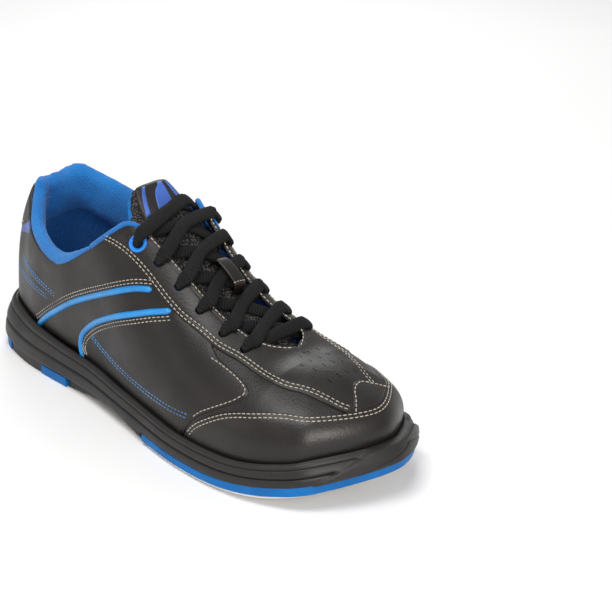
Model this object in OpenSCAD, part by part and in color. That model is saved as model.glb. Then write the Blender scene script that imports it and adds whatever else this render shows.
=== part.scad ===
/* [Size] */
// Length of the sole from heel to toe
shoe_len = 300; // [270:1:330]
// Share of the standard width, 1 is a medium fit
fit_width = 1; // [0.95:0.01:1.05]

/* [Sole] */
// Thickness of the slide pad and of the ground layer
pad_t = 2.6; // [2.2:0.1:3]
// Thickness of the coloured forefoot plate
plate_t = 3; // [2.4:0.1:3.2]
// Rise of the sole under the tip of the toe
toe_spring = 14; // [10:1:16]
// Height of the arch between pad and heel
arch_rise = 4; // [2:0.5:4]
// Thickness of the cup floor
floor_t = 2.7; // [2:0.1:2.7]

/* [Upper] */
// Thickness of the leather panels
skin_t = 1.3; // [1:0.1:1.4]
// Gap between neighbouring panels
seam = 0.5; // [0.4:0.1:0.8]
// Width of the blue arc piping
piping_w = 3; // [2:0.2:3.4]
// Radius of the collar roll
roll_r = 2.8; // [2.2:0.1:3]
// Thickness of the collar padding
collar_t = 5; // [3:0.5:6]

/* [Lace] */
// Width of the flat lace
lace_w = 7; // [5:0.5:7.5]
// Thickness of the flat lace
lace_t = 2; // [1.6:0.1:2]
// Diameter of the lace holes
hole_d = 5.2; // [5:0.1:5.6]

/* [Hidden] */

black = [0.09, 0.085, 0.085];
rubber = [0.17, 0.16, 0.16];
blue = [0.06, 0.35, 0.75];
sky = [0.2, 0.55, 0.9];
white = [0.88, 0.88, 0.87];
grey = [0.55, 0.55, 0.55];
tan = [0.72, 0.6, 0.45];

// ---- The last: stations 0 (heel back) to 14 (toe tip) run round the outline.
// The lateral side is stations 0 to 14, and the medial side is 14 to 28.
TOE = 14;
AROUND = 28;
std_len = 299;
lx = shoe_len / std_len;
// Distance of each station from the heel, and the two half widths there
STATION_X = [1, 6, 16, 33, 56, 84, 113, 142, 170, 196, 221, 244, 265, 283];
HALF_LAT = [0, 17, 28, 34.5, 38, 38.5, 39.5, 43.5, 48, 51.5, 52, 49.5, 42.5, 29];
HALF_MED = [0, 17, 28, 34.5, 37.5, 36.5, 34, 35, 40, 46.5, 51.5, 54, 51.5, 42];
tip_y = 9;
// Sideways shift that puts the middle of the outline on the middle plane
side_shift = -1;
// Height of the ridge line and of the line where the upper meets the sole
RIDGE_Z = [122, 122, 122, 126, 140, 150, 138, 118, 95, 76, 66, 59, 55, 54, 54];
// Height at which the ridge line ends, above the toes
ridge_end_z = 58;
FEATHER_Z = [29, 29, 28, 27, 25, 23, 21, 19, 18, 17, 17, 18, 21, 25, 28];
// Distance of that line inside the sole outline
FEATHER_IN = [10, 11, 10.5, 10, 8, 6, 6, 6, 6, 6, 6, 6, 7, 8, 9];
// Roundness of the section, sideways and upwards, and how far the wall bulges
ROUND_Y = [1.7, 1.6, 1.5, 1.6, 2.4, 3.8, 3.6, 3, 2.4, 2.2, 2.2, 2.3, 2.4, 2.4, 2.4];
ROUND_Z = [2.2, 2.2, 2.2, 2.2, 2.4, 2.8, 3.2, 3.2, 2.2, 2, 2.1, 2.3, 2.4, 2.4, 2.4];
BULGE_LAT = [1, 0, 0, 0, 1, 2, 3, 3, 2, 1.5, 1.5, 1.5, 1, 1, 1];
BULGE_MED = [1, 1, 1, 2, 3, 5, 7, 7, 5, 3, 2, 1.5, 1, 1, 1];
// The ridge line runs between these two places and swings to the inside of the foot
ridge_heel_x = -106;
ridge_toe_x = 94;
ridge_toe_y = 6;
ridge_heel_y = 4;
// Height of the top line, by station
COLLAR_LAT = [96, 98, 97, 88, 77, 74, 90, 112];
COLLAR_MED = [96, 98, 102, 105, 97, 90, 96, 112];

// Grid of stations that every skin shares: close at heel and toe, wider along the sides
GRID = concat([for (q = [0:0.25:4]) q], [4.5, 5, 5.5, 5.65], [for (q = [6:0.5:11.5]) q],
    [for (q = [11.75:0.25:16.25]) q],
    [for (q = [16.5:0.5:22]) q], [22.35, 22.5, 23, 23.5], [for (q = [24:0.25:27.75]) q]);

function mix(a, b, t) = a + (b - a) * t;
function clamp(v, lo, hi) = min(max(v, lo), hi);
function ease(t) = let(c = clamp(t, 0, 1)) c * c * (3 - 2 * c);
function wrap(i, n) = ((i % n) + n) % n;
function unit(v) = v / norm(v);

// Smooth curve through evenly numbered values
function spline(a, b, c, d, t) =
    0.5 * (2 * b + (c - a) * t + (2 * a - 5 * b + 4 * c - d) * t * t + (3 * b - a - 3 * c + d) * t * t * t);
function on_loop(P, q) = let(n = len(P), i = floor(q), t = q - i)
    spline(P[wrap(i - 1, n)], P[wrap(i, n)], P[wrap(i + 1, n)], P[wrap(i + 2, n)], t);
function on_row(A, q) = let(n = len(A) - 1, i = floor(q), t = q - i)
    spline(A[clamp(i - 1, 0, n)], A[clamp(i, 0, n)], A[clamp(i + 1, 0, n)], A[clamp(i + 2, 0, n)], t);
function is_medial(q) = wrap(q, AROUND) > TOE;
function fold(q) = let(r = wrap(q, AROUND)) r > TOE ? AROUND - r : r;
function by_station(A, q) = on_row(A, fold(q));
function by_side(A, B, q) = by_station(is_medial(q) ? B : A, q);

OUTLINE = [for (k = [0:AROUND - 1]) let(i = fold(k))
    i == TOE ? [shoe_len / 2, tip_y] :
    [(STATION_X[i] - 150.5) * lx, (k > TOE ? HALF_MED[i] : -HALF_LAT[i]) * fit_width + side_shift]];

function outward(q) = let(d = unit(on_loop(OUTLINE, q + 0.01) - on_loop(OUTLINE, q - 0.01))) [d[1], -d[0]];
function plan(q, inset) = on_loop(OUTLINE, q) - outward(q) * inset;
function feather_in(q) = by_station(FEATHER_IN, q);
function feather_z(q) = by_station(FEATHER_Z, q);
function ridge_xy(q) = let(x = clamp(plan(q, feather_in(q))[0], ridge_heel_x, ridge_toe_x))
    [x, ridge_toe_y * ease((x - 20) / (ridge_toe_x - 20)) + ridge_heel_y * ease((-60 - x) / 40) + side_shift];

// Point of the upper at station q, share w of the way from the sole to the ridge
// Height of the ridge as seen from station q: towards the toe every station runs up to the same end of the ridge
function top_z(q, w) = mix(by_station(RIDGE_Z, q), ridge_end_z, ease(fold(q) - 10) * ease((w - 0.55) / 0.45));
function last_pt(q, w) = let(
    f = plan(q, feather_in(q)), zf = feather_z(q), phi = 90 * clamp(w, 0, 1),
    v = pow(sin(phi), 2 / by_station(ROUND_Z, q)),
    g = 1 - pow(max(cos(phi), 0), 2 / by_station(ROUND_Y, q)),
    xy = mix(f, ridge_xy(q), g) + outward(q) * by_side(BULGE_LAT, BULGE_MED, q) * 4 * v * (1 - v))
    [xy[0], xy[1], mix(zf, top_z(q, w), v)];
function last_normal(q, w) = let(
    wa = clamp(w, 0.02, 0.99),
    dq = last_pt(q + 0.02, wa) - last_pt(q - 0.02, wa),
    dw = last_pt(q, wa + 0.01) - last_pt(q, wa - 0.01))
    unit(cross(dq, dw));
// The same point moved out by d along the normal
function skin_pt(q, w, d) = last_pt(q, w) + last_normal(q, w) * d;
// Share w at which the wall of station q reaches height z
function share_at(q, z) = let(zf = feather_z(q), v = clamp((z - zf) / (by_station(RIDGE_Z, q) - zf), 0, 1))
    asin(pow(v, by_station(ROUND_Z, q) / 2)) / 90;

// ---- Edges of the panels on the upper, as height over station or as share over station
function collar_z(q) = let(s = fold(q)) on_row(is_medial(q) ? COLLAR_MED : COLLAR_LAT, min(s, 7));
function collar_w(q, drop = 0) = share_at(q, collar_z(q) - drop);
UPPER_ARC = [[3.9, 25], [4.6, 39], [5.5, 55], [6.5, 70], [7.3, 80], [7.7, 82]];
LOWER_ARC = [[5.5, 15], [5.65, 35], [6, 45.5], [6.5, 55], [7, 63], [7.5, 69], [8.2, 74]];
MUDGUARD_TOP = [[9.2, 19], [9.6, 28], [10.05, 35], [10.5, 40], [11.1, 43], [12, 44], [14, 43.5]];
SIDE_TOP = [[9.5, 58.5], [10, 56], [10.5, 51], [11, 43.6]];
EYESTAY_EDGE = [[6.4, 0.39], [7, 0.47], [7.6, 0.54], [8.4, 0.58], [9, 0.62], [9.5, 0.63], [10, 0.66],
    [10.7, 0.68], [11.5, 0.71], [12.3, 0.7], [13, 0.66], [13.4, 0.56]];
THROAT_EDGE = [[6.85, 0.68], [7.2, 0.71], [7.65, 0.77], [8.15, 0.8], [8.7, 0.82], [9.35, 0.83], [10, 0.84],
    [10.25, 0.9], [10.4, 0.998]];
STRIPE_LOW = [[0, 66], [2, 67], [3.4, 75], [4.3, 83]];
STRIPE_HIGH = [[0, 72], [2, 73], [3.1, 81], [4.1, 90]];
top_w = 0.998;
// The panels end this far below the top line, under the collar roll
below_roll = 1.6;
eyestay_front = 10.45;

function edge(L, q) = lookup(fold(q), L);
// Share of that edge moved up by up, measured square to the edge
station_gap = 28;
function slope(L, q) = (edge(L, fold(q) + 0.05) - edge(L, fold(q) - 0.05)) / 0.1 / station_gap;
function edge_w(L, q, up = 0) = share_at(q, edge(L, q) + up * norm([1, slope(L, q)]));

// ---- Solids made of a grid of points
function flat(L) = [for (row = L) each row];
function quads(m, n, o, flip) = [for (i = [0:m - 2], j = [0:n - 2])
    let(a = o + i * n + j, b = a + 1, c = a + n, d = c + 1) each flip
        ? [[a, c, b], [b, c, d]] : [[a, b, c], [b, d, c]]];
function rim(half, I) = [for (k = [0:len(I) - 2])
    let(a = I[k], b = I[k + 1], c = a + half, d = b + half) each [[a, b, c], [b, d, c]]];
function border(m, n) = concat([for (j = [0:n - 1]) j], [for (i = [1:m - 1]) i * n + n - 1],
    [for (j = [n - 2:-1:0]) (m - 1) * n + j], [for (i = [m - 2:-1:0]) i * n]);

// Closed sheet between an inner and an outer grid of m by n points
module sheet(inner, outer) {
    m = len(inner);
    n = len(inner[0]);
    half = m * n;
    polyhedron(points = concat(flat(inner), flat(outer)), convexity = 8,
        faces = concat(quads(m, n, 0, true), quads(m, n, half, false),
            rim(half, border(m, n))));
}

// Stations of the shared grid between two ends
function steps(q0, q1) = concat([q0],
    [for (turn = [-AROUND, 0, AROUND], g = GRID)
        if (g + turn > q0 + 0.04 && g + turn < q1 - 0.04) g + turn], [q1]);

// Panel of the upper from station q0 to q1, between two edge functions, d0 to d1 off the last
module panel(q0, q1, lo, hi, rows, d0 = -skin_t, d1 = 0) {
    Q = steps(q0, q1);
    function layer(d) = [for (q = Q) [for (k = [0:rows]) skin_pt(q, mix(lo(q), hi(q), k / rows), d)]];
    sheet(layer(d0), layer(d1));
}

// The same panel on the lateral or on the medial side
module side_part(medial, q0, q1, lo, hi, rows, d0 = -skin_t, d1 = 0) {
    if (medial) panel(AROUND - q1, AROUND - q0, lo, hi, rows, d0, d1);
    else panel(q0, q1, lo, hi, rows, d0, d1);
}

// Closed solid through rings of points, its two end rings closed by strips across
module through(rings) {
    n = len(rings[0]);
    m = len(rings);
    last = (m - 1) * n;
    walls = [for (i = [0:m - 2], k = [0:n - 1])
        let(a = i * n + k, b = i * n + (k + 1) % n, c = a + n, d = b + n) each [[a, c, b], [b, c, d]]];
    strip = [for (k = [0:n / 2 - 1]) let(a = k, b = k + 1, c = (n - k - 1) % n, d = (n - k) % n)
        each k == 0 ? [[a, b, c]] : k == n / 2 - 1 ? [[a, b, d]] : [[a, b, c], [a, c, d]]];
    polyhedron(points = flat(rings), convexity = 8,
        faces = concat(walls, strip, [for (f = strip) [f[2] + last, f[1] + last, f[0] + last]]));
}

// ---- Sole heights
function spring_z(x) = toe_spring * pow(clamp((x - 60) / 90, 0, 1), 2.2);
function arch_z(x) = arch_rise * ease(1 - abs((x + 20) / 45));
stack_t = pad_t + plate_t;
glue = 0.3;
function sole_z(x) = stack_t + spring_z(x);
function floor_z(x) = sole_z(x) + floor_t;
function lift(p, z) = [p[0], p[1], z];

// Pad outline: its rear edge is a point towards the heel
function pointed(tip_x, q0, inset) = concat([[tip_x, 0]],
    [for (q = concat([q0], [for (k = [8.5:0.5:19.5]) k], [AROUND - q0])) plan(q, inset)]);
module pointed_slab(tip_x, q0, inset, z0, z1) {
    P = pointed(tip_x, q0, inset);
    through([[for (p = P) lift(p, spring_z(p[0]) + z0)], [for (p = P) lift(p, spring_z(p[0]) + z1)]]);
}

pad_tip_x = -9;
module forefoot_plate() {
    color(blue) pointed_slab(pad_tip_x, 8, 1, pad_t + glue, stack_t - glue);
}
module slide_pad() {
    color(white) pointed_slab(pad_tip_x + 5, 8.15, 3, 0, pad_t);
}

heel_front_x = -62;
lug_gap = 0.4;
module sole_shape(inset) {
    polygon([for (q = GRID) plan(q, inset)]);
}
module lug_area(x, y, long, wide, grow) {
    translate([x - grow, y - grow]) square([long + 2 * grow, wide + 2 * grow]);
}
module lug_areas(grow) {
    for (s = [-1, 1]) {
        lug_area(-150, s * 30 - 14, 26, 28, grow);
        lug_area(heel_front_x - 24, s * 38 - 12, 30, 24, grow);
    }
}
module heel_slab(inset) {
    intersection() {
        sole_shape(inset);
        translate([-160, -60]) square([160 + heel_front_x, 120]);
    }
}
module heel_pad() {
    color(rubber) linear_extrude(stack_t - glue) difference() {
        heel_slab(2);
        lug_areas(lug_gap);
    }
}
module heel_lugs() {
    color(blue) linear_extrude(stack_t - glue) intersection() {
        heel_slab(1.4);
        lug_areas(0);
    }
}

stripe_half = 6.5;
shank_rows = 10;
module shank_half(s) {
    low = [for (k = [0:shank_rows]) let(
        inner = [mix(heel_front_x + 0.6, -6.5, k / shank_rows), s * (stripe_half + 0.5)],
        q = mix(5.2, 7.8, k / shank_rows), outer = plan(s < 0 ? q : AROUND - q, 3))
        [for (t = s < 0 ? [1, 0.5, 0] : [0, 0.5, 1]) let(p = mix(inner, outer, t)) lift(p, arch_z(p[0]))]];
    sheet(low, [for (row = low) [for (p = row) lift(p, stack_t - glue)]]);
}
module shank_panel_lateral() {
    color(rubber) shank_half(-1);
}
module shank_panel_medial() {
    color(rubber) shank_half(1);
}
module shank_stripe() {
    rows = 8;
    low = [for (k = [0:rows]) let(x = mix(heel_front_x + 0.6, -11, k / rows))
        [for (y = [-stripe_half, 0, stripe_half]) [x, y, arch_z(x)]]];
    color(blue) sheet(low, [for (row = low) [for (p = row) lift(p, stack_t - glue)]]);
}

// Cup sole: the profile climbs the outside, crosses the rim and goes down to the floor inside
module outsole() {
    // share of the way up the side wall, how far it leans in, and extra inset there
    side = [[0, 0, 2.6], [0.05, 0, 0.8], [0.2, 0.1, 0], [0.42, 0.25, 0], [0.47, 0.3, 1.1], [0.52, 0.32, 0],
        [0.85, 0.8, 0], [1, 1, 0.6]];
    rim_up = 1.5;
    wall = 3.4;
    color(rubber) through(concat(
        [for (s = side) [for (q = GRID)
            let(p = plan(q, s[1] * (feather_in(q) - wall - 1) + s[2]))
                lift(p, mix(sole_z(p[0]), feather_z(q) + rim_up, s[0]))]],
        [[for (q = GRID) lift(plan(q, feather_in(q) - 1), feather_z(q) + rim_up)],
         [for (q = GRID) lift(plan(q, feather_in(q) - 0.5), feather_z(q) - 4)],
         [for (q = GRID) let(p = plan(q, feather_in(q) - 0.3)) lift(p, floor_z(p[0]))]]));
}

// Layers inside the cup
board_drop = 7;
board_t = 2;
sock_t = 4;
module inner_layer(inset, from, to) {
    through([[for (q = GRID) let(p = plan(q, feather_in(q) + inset)) lift(p, from(p, q))],
        [for (q = GRID) let(p = plan(q, feather_in(q) + inset)) lift(p, to(p, q))]]);
}
module insole_board() {
    color(tan) inner_layer(0.6, function(p, q) feather_z(q) - board_drop,
        function(p, q) feather_z(q) - board_drop + board_t);
}
module sockliner() {
    color(blue) inner_layer(4.8, function(p, q) feather_z(q) - board_drop + board_t + glue,
        function(p, q) feather_z(q) - board_drop + board_t + glue + sock_t);
}
shank_w = 12;
shank_t = 1.5;
// Bent strip under the board from heel to waist, grown by g on every side and open upwards by up
module shank_strip(g, up) {
    base = [for (q = [3.9:0.4:7.1]) let(x = plan(q, feather_in(q))[0] + (q < 4 ? -g : q > 7 ? g : 0))
        [for (y = [-shank_w / 2 - g, shank_w / 2 + g]) [x, y, feather_z(q) - board_drop - glue - shank_t]]];
    sheet([for (row = base) [for (p = row) p - [0, 0, g]]],
        [for (row = base) [for (p = row) p + [0, 0, shank_t + up]]]);
}
module midsole() {
    color(grey) difference() {
        inner_layer(1, function(p, q) floor_z(p[0]) + glue, function(p, q) feather_z(q) - board_drop - glue);
        shank_strip(glue, 8);
    }
}
module steel_shank() {
    color(grey) shank_strip(0, 0);
}

// ---- Upper: hidden layers
stiff_out = -1.7;
stiff_in = -2.5;
lining_out = -2.9;
lining_in = -3.9;
// The lining ends below the collar, leaves the lace holes free and is whole over the toes
function lining_top(q) = let(s = fold(q)) s < 6.3 ? collar_w(q, 1.6) : s < 7.7 ? 0.3 :
    s < eyestay_front ? edge(THROAT_EDGE, q) - 0.17 : top_w;
module shell_lining() {
    Q = GRID;
    rows = 9;
    n = len(Q);
    function layer(d) = [for (q = Q) [for (k = [0:rows]) skin_pt(q, lining_top(q) * k / rows, d)]];
    inner = layer(lining_in);
    outer = layer(lining_out);
    half = n * (rows + 1);
    m = rows + 1;
    ring = [for (i = [0:n - 1]) let(a = i * m, b = ((i + 1) % n) * m) [a, b]];
    color(blue) polyhedron(points = concat(flat(inner), flat(outer)), convexity = 10, faces = concat(
        [for (r = ring, k = [0:rows - 1]) each
            [[r[0] + k, r[1] + k, r[0] + k + 1], [r[0] + k + 1, r[1] + k, r[1] + k + 1]]],
        [for (r = ring, k = [0:rows - 1]) each [[half + r[0] + k, half + r[0] + k + 1, half + r[1] + k],
            [half + r[0] + k + 1, half + r[1] + k + 1, half + r[1] + k]]],
        [for (r = ring) each [[r[0], r[0] + half, r[1]], [r[1], r[0] + half, r[1] + half]]],
        [for (r = ring) let(a = r[0] + rows, b = r[1] + rows) each
            [[a, b, a + half], [b, b + half, a + half]]]));
}
counter_end = 4.6;
module heel_counter() {
    color(tan) panel(-counter_end, counter_end, function(q) 0.02, function(q) share_at(q, 62),
        5, stiff_in, stiff_out);
}
puff_end = 2.2;
module toe_puff() {
    color(tan) panel(TOE - puff_end, TOE + puff_end, function(q) 0.02, function(q) 0.4,
        3, stiff_in, stiff_out);
}

// ---- Upper: visible panels
function above(L, up) = function(q) edge_w(L, q, up);
half_pipe = piping_w / 2;
beside = half_pipe + seam;
patch_q = 0.75;
patch_top = 0.62;

module mudguard() {
    color(black) panel(9.3, AROUND - 9.3, function(q) 0.004, above(MUDGUARD_TOP, -seam / 2), 5);
}
module toe_patch() {
    color(black) panel(TOE - patch_q, TOE + patch_q, above(MUDGUARD_TOP, seam / 2), function(q) patch_top, 3);
}
function vamp_low(q) = fold(q) > TOE - patch_q - 0.1 ? patch_top + 0.02 : edge(EYESTAY_EDGE, q) + 0.006;
module vamp() {
    color(black) difference() {
        panel(eyestay_front + 0.05, AROUND - eyestay_front - 0.05, function(q) vamp_low(q),
            function(q) top_w, 5);
        for (side = [0, 1], row = [0:2], k = [0:3 - row]) {
            q = 10.9 + 0.35 * row;
            perforation(side == 1 ? AROUND - q : q, 0.9 - 0.1 * row + 0.02 * k, 1.4);
        }
    }
}
// Round hole through the upper, square to its surface
module at_skin(q, w, d) {
    p = skin_pt(q, w, d);
    n = last_normal(q, w);
    translate(p) rotate([0, acos(n[2]), atan2(n[1], n[0])]) children();
}
module perforation(q, w, dia) {
    at_skin(q, w, -3) cylinder(h = 6, d = dia, $fn = 16);
}
side_tip = 10.95;
function side_top(q) = let(s = fold(q)) s < 8.15 ? edge_w(LOWER_ARC, q, -beside) :
    s < 9.4 ? edge(EYESTAY_EDGE, q) - 0.006 : share_at(q, edge(SIDE_TOP, q));
function side_low(q) = fold(q) < 9.25 ? 0.004 : edge_w(MUDGUARD_TOP, q, seam / 2);
function vamp_side_low(q) = fold(q) < side_tip
    ? share_at(q, edge(SIDE_TOP, q) + 2 * seam) : edge_w(MUDGUARD_TOP, q, seam);
module vamp_side(medial) {
    color(black) side_part(medial, 9.6, 13.2, function(q) vamp_side_low(q),
        function(q) edge(EYESTAY_EDGE, q) - 0.006, 3);
}
module vamp_side_lateral() {
    vamp_side(false);
}
module vamp_side_medial() {
    vamp_side(true);
}
module side_panel(medial) {
    color(black) side_part(medial, 5.65, side_tip, function(q) side_low(q), function(q) side_top(q), 5);
}
module side_panel_lateral() {
    side_panel(false);
}
module side_panel_medial() {
    side_panel(true);
}
module arc_band(medial) {
    top = function(q) fold(q) < 7.75 ? edge_w(UPPER_ARC, q, -beside) : edge(EYESTAY_EDGE, q) - 0.006;
    low = function(q) max(0.004, fold(q) < 5.5 ? 0 : edge_w(LOWER_ARC, q, beside));
    color(black) side_part(medial, 4.15, 8.1, low, top, 4);
}
module arc_band_lateral() {
    arc_band(false);
}
module arc_band_medial() {
    arc_band(true);
}
pipe_high = 0.7;
module piping(medial, L, q0, q1) {
    high = function(q) max(0.003, edge_w(L, q, half_pipe));
    color(sky) side_part(medial, q0, q1, above(L, -half_pipe), high, 1, -skin_t, pipe_high);
}
module lower_piping_lateral() {
    piping(false, LOWER_ARC, 5.5, 8.05);
}
module lower_piping_medial() {
    piping(true, LOWER_ARC, 5.5, 8.05);
}
module upper_piping_lateral() {
    piping(false, UPPER_ARC, 4.05, 7.45);
}
module upper_piping_medial() {
    piping(true, UPPER_ARC, 4.05, 7.45);
}
module quarter(medial) {
    low = function(q) fold(q) < 4 ? 0.004 : fold(q) < 7.5 ? edge_w(UPPER_ARC, q, beside)
        : edge(EYESTAY_EDGE, q) - 0.006;
    high = function(q) let(s = fold(q)) min(collar_w(q, below_roll),
        s < 4.25 ? edge_w(STRIPE_LOW, q, -seam / 2) : s < 6.4 ? 1 : edge(EYESTAY_EDGE, q) - 0.006);
    color(black) side_part(medial, 0.02, 7.35, low, high, 6);
}
module quarter_lateral() {
    quarter(false);
}
module quarter_medial() {
    quarter(true);
}
module heel_stripe() {
    color(blue) panel(-4.05, 3.65, above(STRIPE_LOW, seam / 2),
        function(q) min(edge_w(STRIPE_HIGH, q), collar_w(q, below_roll)), 2);
}
module heel_tab() {
    color(black) panel(-3.8, 3.2, above(STRIPE_HIGH, seam), function(q) collar_w(q, below_roll), 3);
}

// ---- Lacing: six rows of holes along the throat, on the lateral and on the medial side
ROW_Q = [7.2, 7.65, 8.15, 8.7, 9.35, 9.95];
HOLE_LAT = [0.61, 0.67, 0.7, 0.72, 0.73, 0.74];
HOLE_MED = [0.57, 0.62, 0.64, 0.66, 0.68, 0.7];
ring_id = 5.6;
barrel_d = 6.8;
flange_d = 10;
module lace_hole(row, medial) {
    at_skin(medial ? AROUND - ROW_Q[row] : ROW_Q[row], medial ? HOLE_MED[row] : HOLE_LAT[row], -5)
        cylinder(h = 10, d = row == 0 ? barrel_d + 0.4 : hole_d, $fn = 32);
}
module eyestay(medial) {
    high = function(q) let(s = fold(q)) s < 7 ? min(collar_w(q, below_roll), 0.71)
        : edge(THROAT_EDGE, q) - (medial ? 0.04 : 0);
    color(black) difference() {
        side_part(medial, 6.5, eyestay_front, function(q) edge(EYESTAY_EDGE, q) + 0.006, high, 4);
        for (row = [0:5]) lace_hole(row, medial);
    }
}
module eyestay_lateral() {
    eyestay(false);
}
module eyestay_medial() {
    eyestay(true);
}
module eyelet_ring(q, w) {
    at_skin(q, w, 0) rotate_extrude($fn = 48) polygon([
        [ring_id / 2, -2], [barrel_d / 2, -2], [barrel_d / 2, 0.4],
        [flange_d / 2, 0.4], [flange_d / 2 - 0.4, 1], [ring_id / 2 + 0.8, 1.2], [ring_id / 2, 0.7]]);
}
module eyelet_rings() {
    color(blue) {
        eyelet_ring(ROW_Q[0], HOLE_LAT[0]);
        eyelet_ring(AROUND - ROW_Q[0], HOLE_MED[0]);
    }
}

// ---- Collar
collar_end = 6.6;
module collar_roll() {
    Q = steps(-collar_end, collar_end);
    function section(q) = let(w = collar_w(q), c = skin_pt(q, w, -3.2) + [0, 0, 2.2], o = last_normal(q, w),
        side = unit([o[0], o[1], 0]), r = roll_r * (1 - 0.45 * ease((fold(q) - 5.9) / 0.7)))
        [for (a = [0:60:300]) c + side * r * cos(a) - [0, 0, r * sin(a)]];
    color(blue) through([for (q = Q) section(q)]);
}
pad_drop = 26;
module collar_padding() {
    color(blue) panel(-6.6, 6.6, function(q) collar_w(q, pad_drop), function(q) collar_w(q, 2), 3,
        -4.3 - collar_t, -4.3);
}

// ---- Tongue: a padded strip under the throat, hinged where it is sewn to the vamp
TONGUE_Q = [10.05, 9.5, 9, 8.5, 8, 7.5, 7.2, 6.95, 6.75, 6.6, 6.5];
TONGUE_W = [0.8, 0.72, 0.66, 0.62, 0.58, 0.54, 0.52, 0.52, 0.55, 0.62, 0.74];
tongue_out = -6.6;
cols = 6;
function tongue_row(i, d, narrow, bulge) = let(q = TONGUE_Q[i], w0 = TONGUE_W[i] + narrow)
    [for (k = [-cols:cols]) let(t = abs(k) / cols, w = mix(0.998, w0, t), f = sqrt(1 - 0.85 * t * t))
        k == 0 ? skin_pt(q, 1, d + bulge * f) : skin_pt(k < 0 ? q : AROUND - q, w, d + bulge * f)];
module tongue_sheet(rows, d0, b0, d1, b1, narrow) {
    sheet([for (i = rows) tongue_row(i, d0, narrow, b0)], [for (i = rows) tongue_row(i, d1, narrow, b1)]);
}
tongue_rows = [10:-1:0];
module tongue() {
    color(black) tongue_sheet(tongue_rows, tongue_out - 1, -3, tongue_out, 0, 0);
}
module tongue_lining() {
    color(blue) tongue_sheet(tongue_rows, tongue_out - 2.6, -3, tongue_out - 1.3, -3, -0.01);
}
emblem_q = [6.68, 6.8, 6.92];
module tongue_emblem() {
    function layer(d) = [for (q = emblem_q) [for (k = [-3:3]) let(w = mix(1, 0.86, abs(k) / 3))
        skin_pt(k <= 0 ? q : AROUND - q, w, d)]];
    color(blue) sheet(layer(tongue_out + 0.25), layer(tongue_out + 0.9));
}
module tongue_anchor() {
    Q = [10.25, 10.4, 10.6];
    function layer(d) = [for (q = Q) [for (k = [-2:2]) let(w = mix(1, 0.9, abs(k) / 2))
        skin_pt(k <= 0 ? q : AROUND - q, w, d)]];
    color(black) sheet(layer(-7.6), layer(-5.4));
}

// Strap on the tongue that the laces pass under, as stations and heights of its inner and outer face
STRAP_IN = [[8.17, -6.4], [8.18, 0.6], [8.24, 2.6], [8.42, 3.2], [8.63, 2.6], [8.68, 0.6], [8.69, -6.4]];
STRAP_OUT = [[8.13, -6.4], [8.14, 1.2], [8.21, 3.6], [8.42, 4.2], [8.66, 3.6], [8.72, 1.2], [8.73, -6.4]];
module lace_keeper() {
    function layer(L) = [for (p = L) [for (w = [1, 0.95, 0.91]) skin_pt(AROUND - p[0], w, p[1])]];
    color(black) sheet(layer(STRAP_IN), layer(STRAP_OUT));
}

// ---- Lace. A stop of its route is a place on the last, d off its surface, and the width there
over_d = 1.8;
over_ring_d = 3.2;
cross_d = -1.3;
under_d = -3.4;
mid_d = -3.7;
tuck_d = -3.2;
beside_hole = 0.04;
hem = 0.1;
hole_w = 3.8;
function stop(q, w, d, width) = [skin_pt(q, w, d), width];
// Stop near the hole of a row on side s (1 lateral, -1 medial), w nearer to the ridge
function by_hole(row, s, w, d, width) = stop(s > 0 ? ROW_Q[row] : AROUND - ROW_Q[row],
    (s > 0 ? HOLE_LAT[row] : HOLE_MED[row]) + w, d, width);
function in_hole(row, s) = by_hole(row, s, 0, 0.2, hole_w);
function above_hole(row, s) = row == 0 ? by_hole(row, s, 0.065, over_ring_d, lace_w - 1) :
    by_hole(row, s, beside_hole, over_d, lace_w - 1);
function over_lip(row, s) = by_hole(row, s, 0.008, row == 0 ? 3 : 1.6, hole_w);
function below_hole(row, s) = by_hole(row, s, 0.03, tuck_d, lace_w - 1);
function at_hem(row, s, d) = by_hole(row, s, hem, d, lace_w);
function mid_throat(a, b, d) = stop((ROW_Q[a] + ROW_Q[b]) / 2, 1, d, lace_w - 1);
// Over strand: out of lateral hole a, across, into medial hole b
function over(a, b) = [in_hole(a, 1), over_lip(a, 1), above_hole(a, 1),
    at_hem(a, 1, over_d), mid_throat(a, b, cross_d),
    at_hem(b, -1, over_d), above_hole(b, -1), over_lip(b, -1), in_hole(b, -1)];
// Under strand: from medial hole a back to lateral hole b
function under(a, b) = [below_hole(a, -1), at_hem(a, -1, under_d), mid_throat(a, b, mid_d),
    at_hem(b, 1, under_d), below_hole(b, 1)];
function backwards(L) = [for (k = [len(L) - 1:-1:0]) L[k]];
BAR = [below_hole(5, 1), at_hem(5, 1, under_d), mid_throat(5, 5, tuck_d), at_hem(5, -1, over_d),
    above_hole(5, -1), over_lip(5, -1), in_hole(5, -1)];
// Both ends are tucked in under the medial eyestay
TAIL_MEDIAL = [by_hole(0, -1, -0.02, tuck_d, hole_w), by_hole(0, -1, -0.08, tuck_d, 3)];
TAIL_LATERAL = [in_hole(0, 1), over_lip(0, 1), above_hole(0, 1),
    at_hem(0, 1, over_d), stop(7.1, 1, -3.9, lace_w),
    stop(21.05, 0.8, -3.9, lace_w), stop(21.05, 0.64, -3.6, lace_w - 1), stop(21.05, 0.5, tuck_d, 3)];
ROUTE = concat(backwards(concat(over(5, 4), under(4, 3), over(3, 2), under(2, 1), over(1, 0), TAIL_MEDIAL)),
    BAR, under(5, 4), over(4, 3), under(3, 2), over(2, 1), under(1, 0), TAIL_LATERAL);
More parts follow.
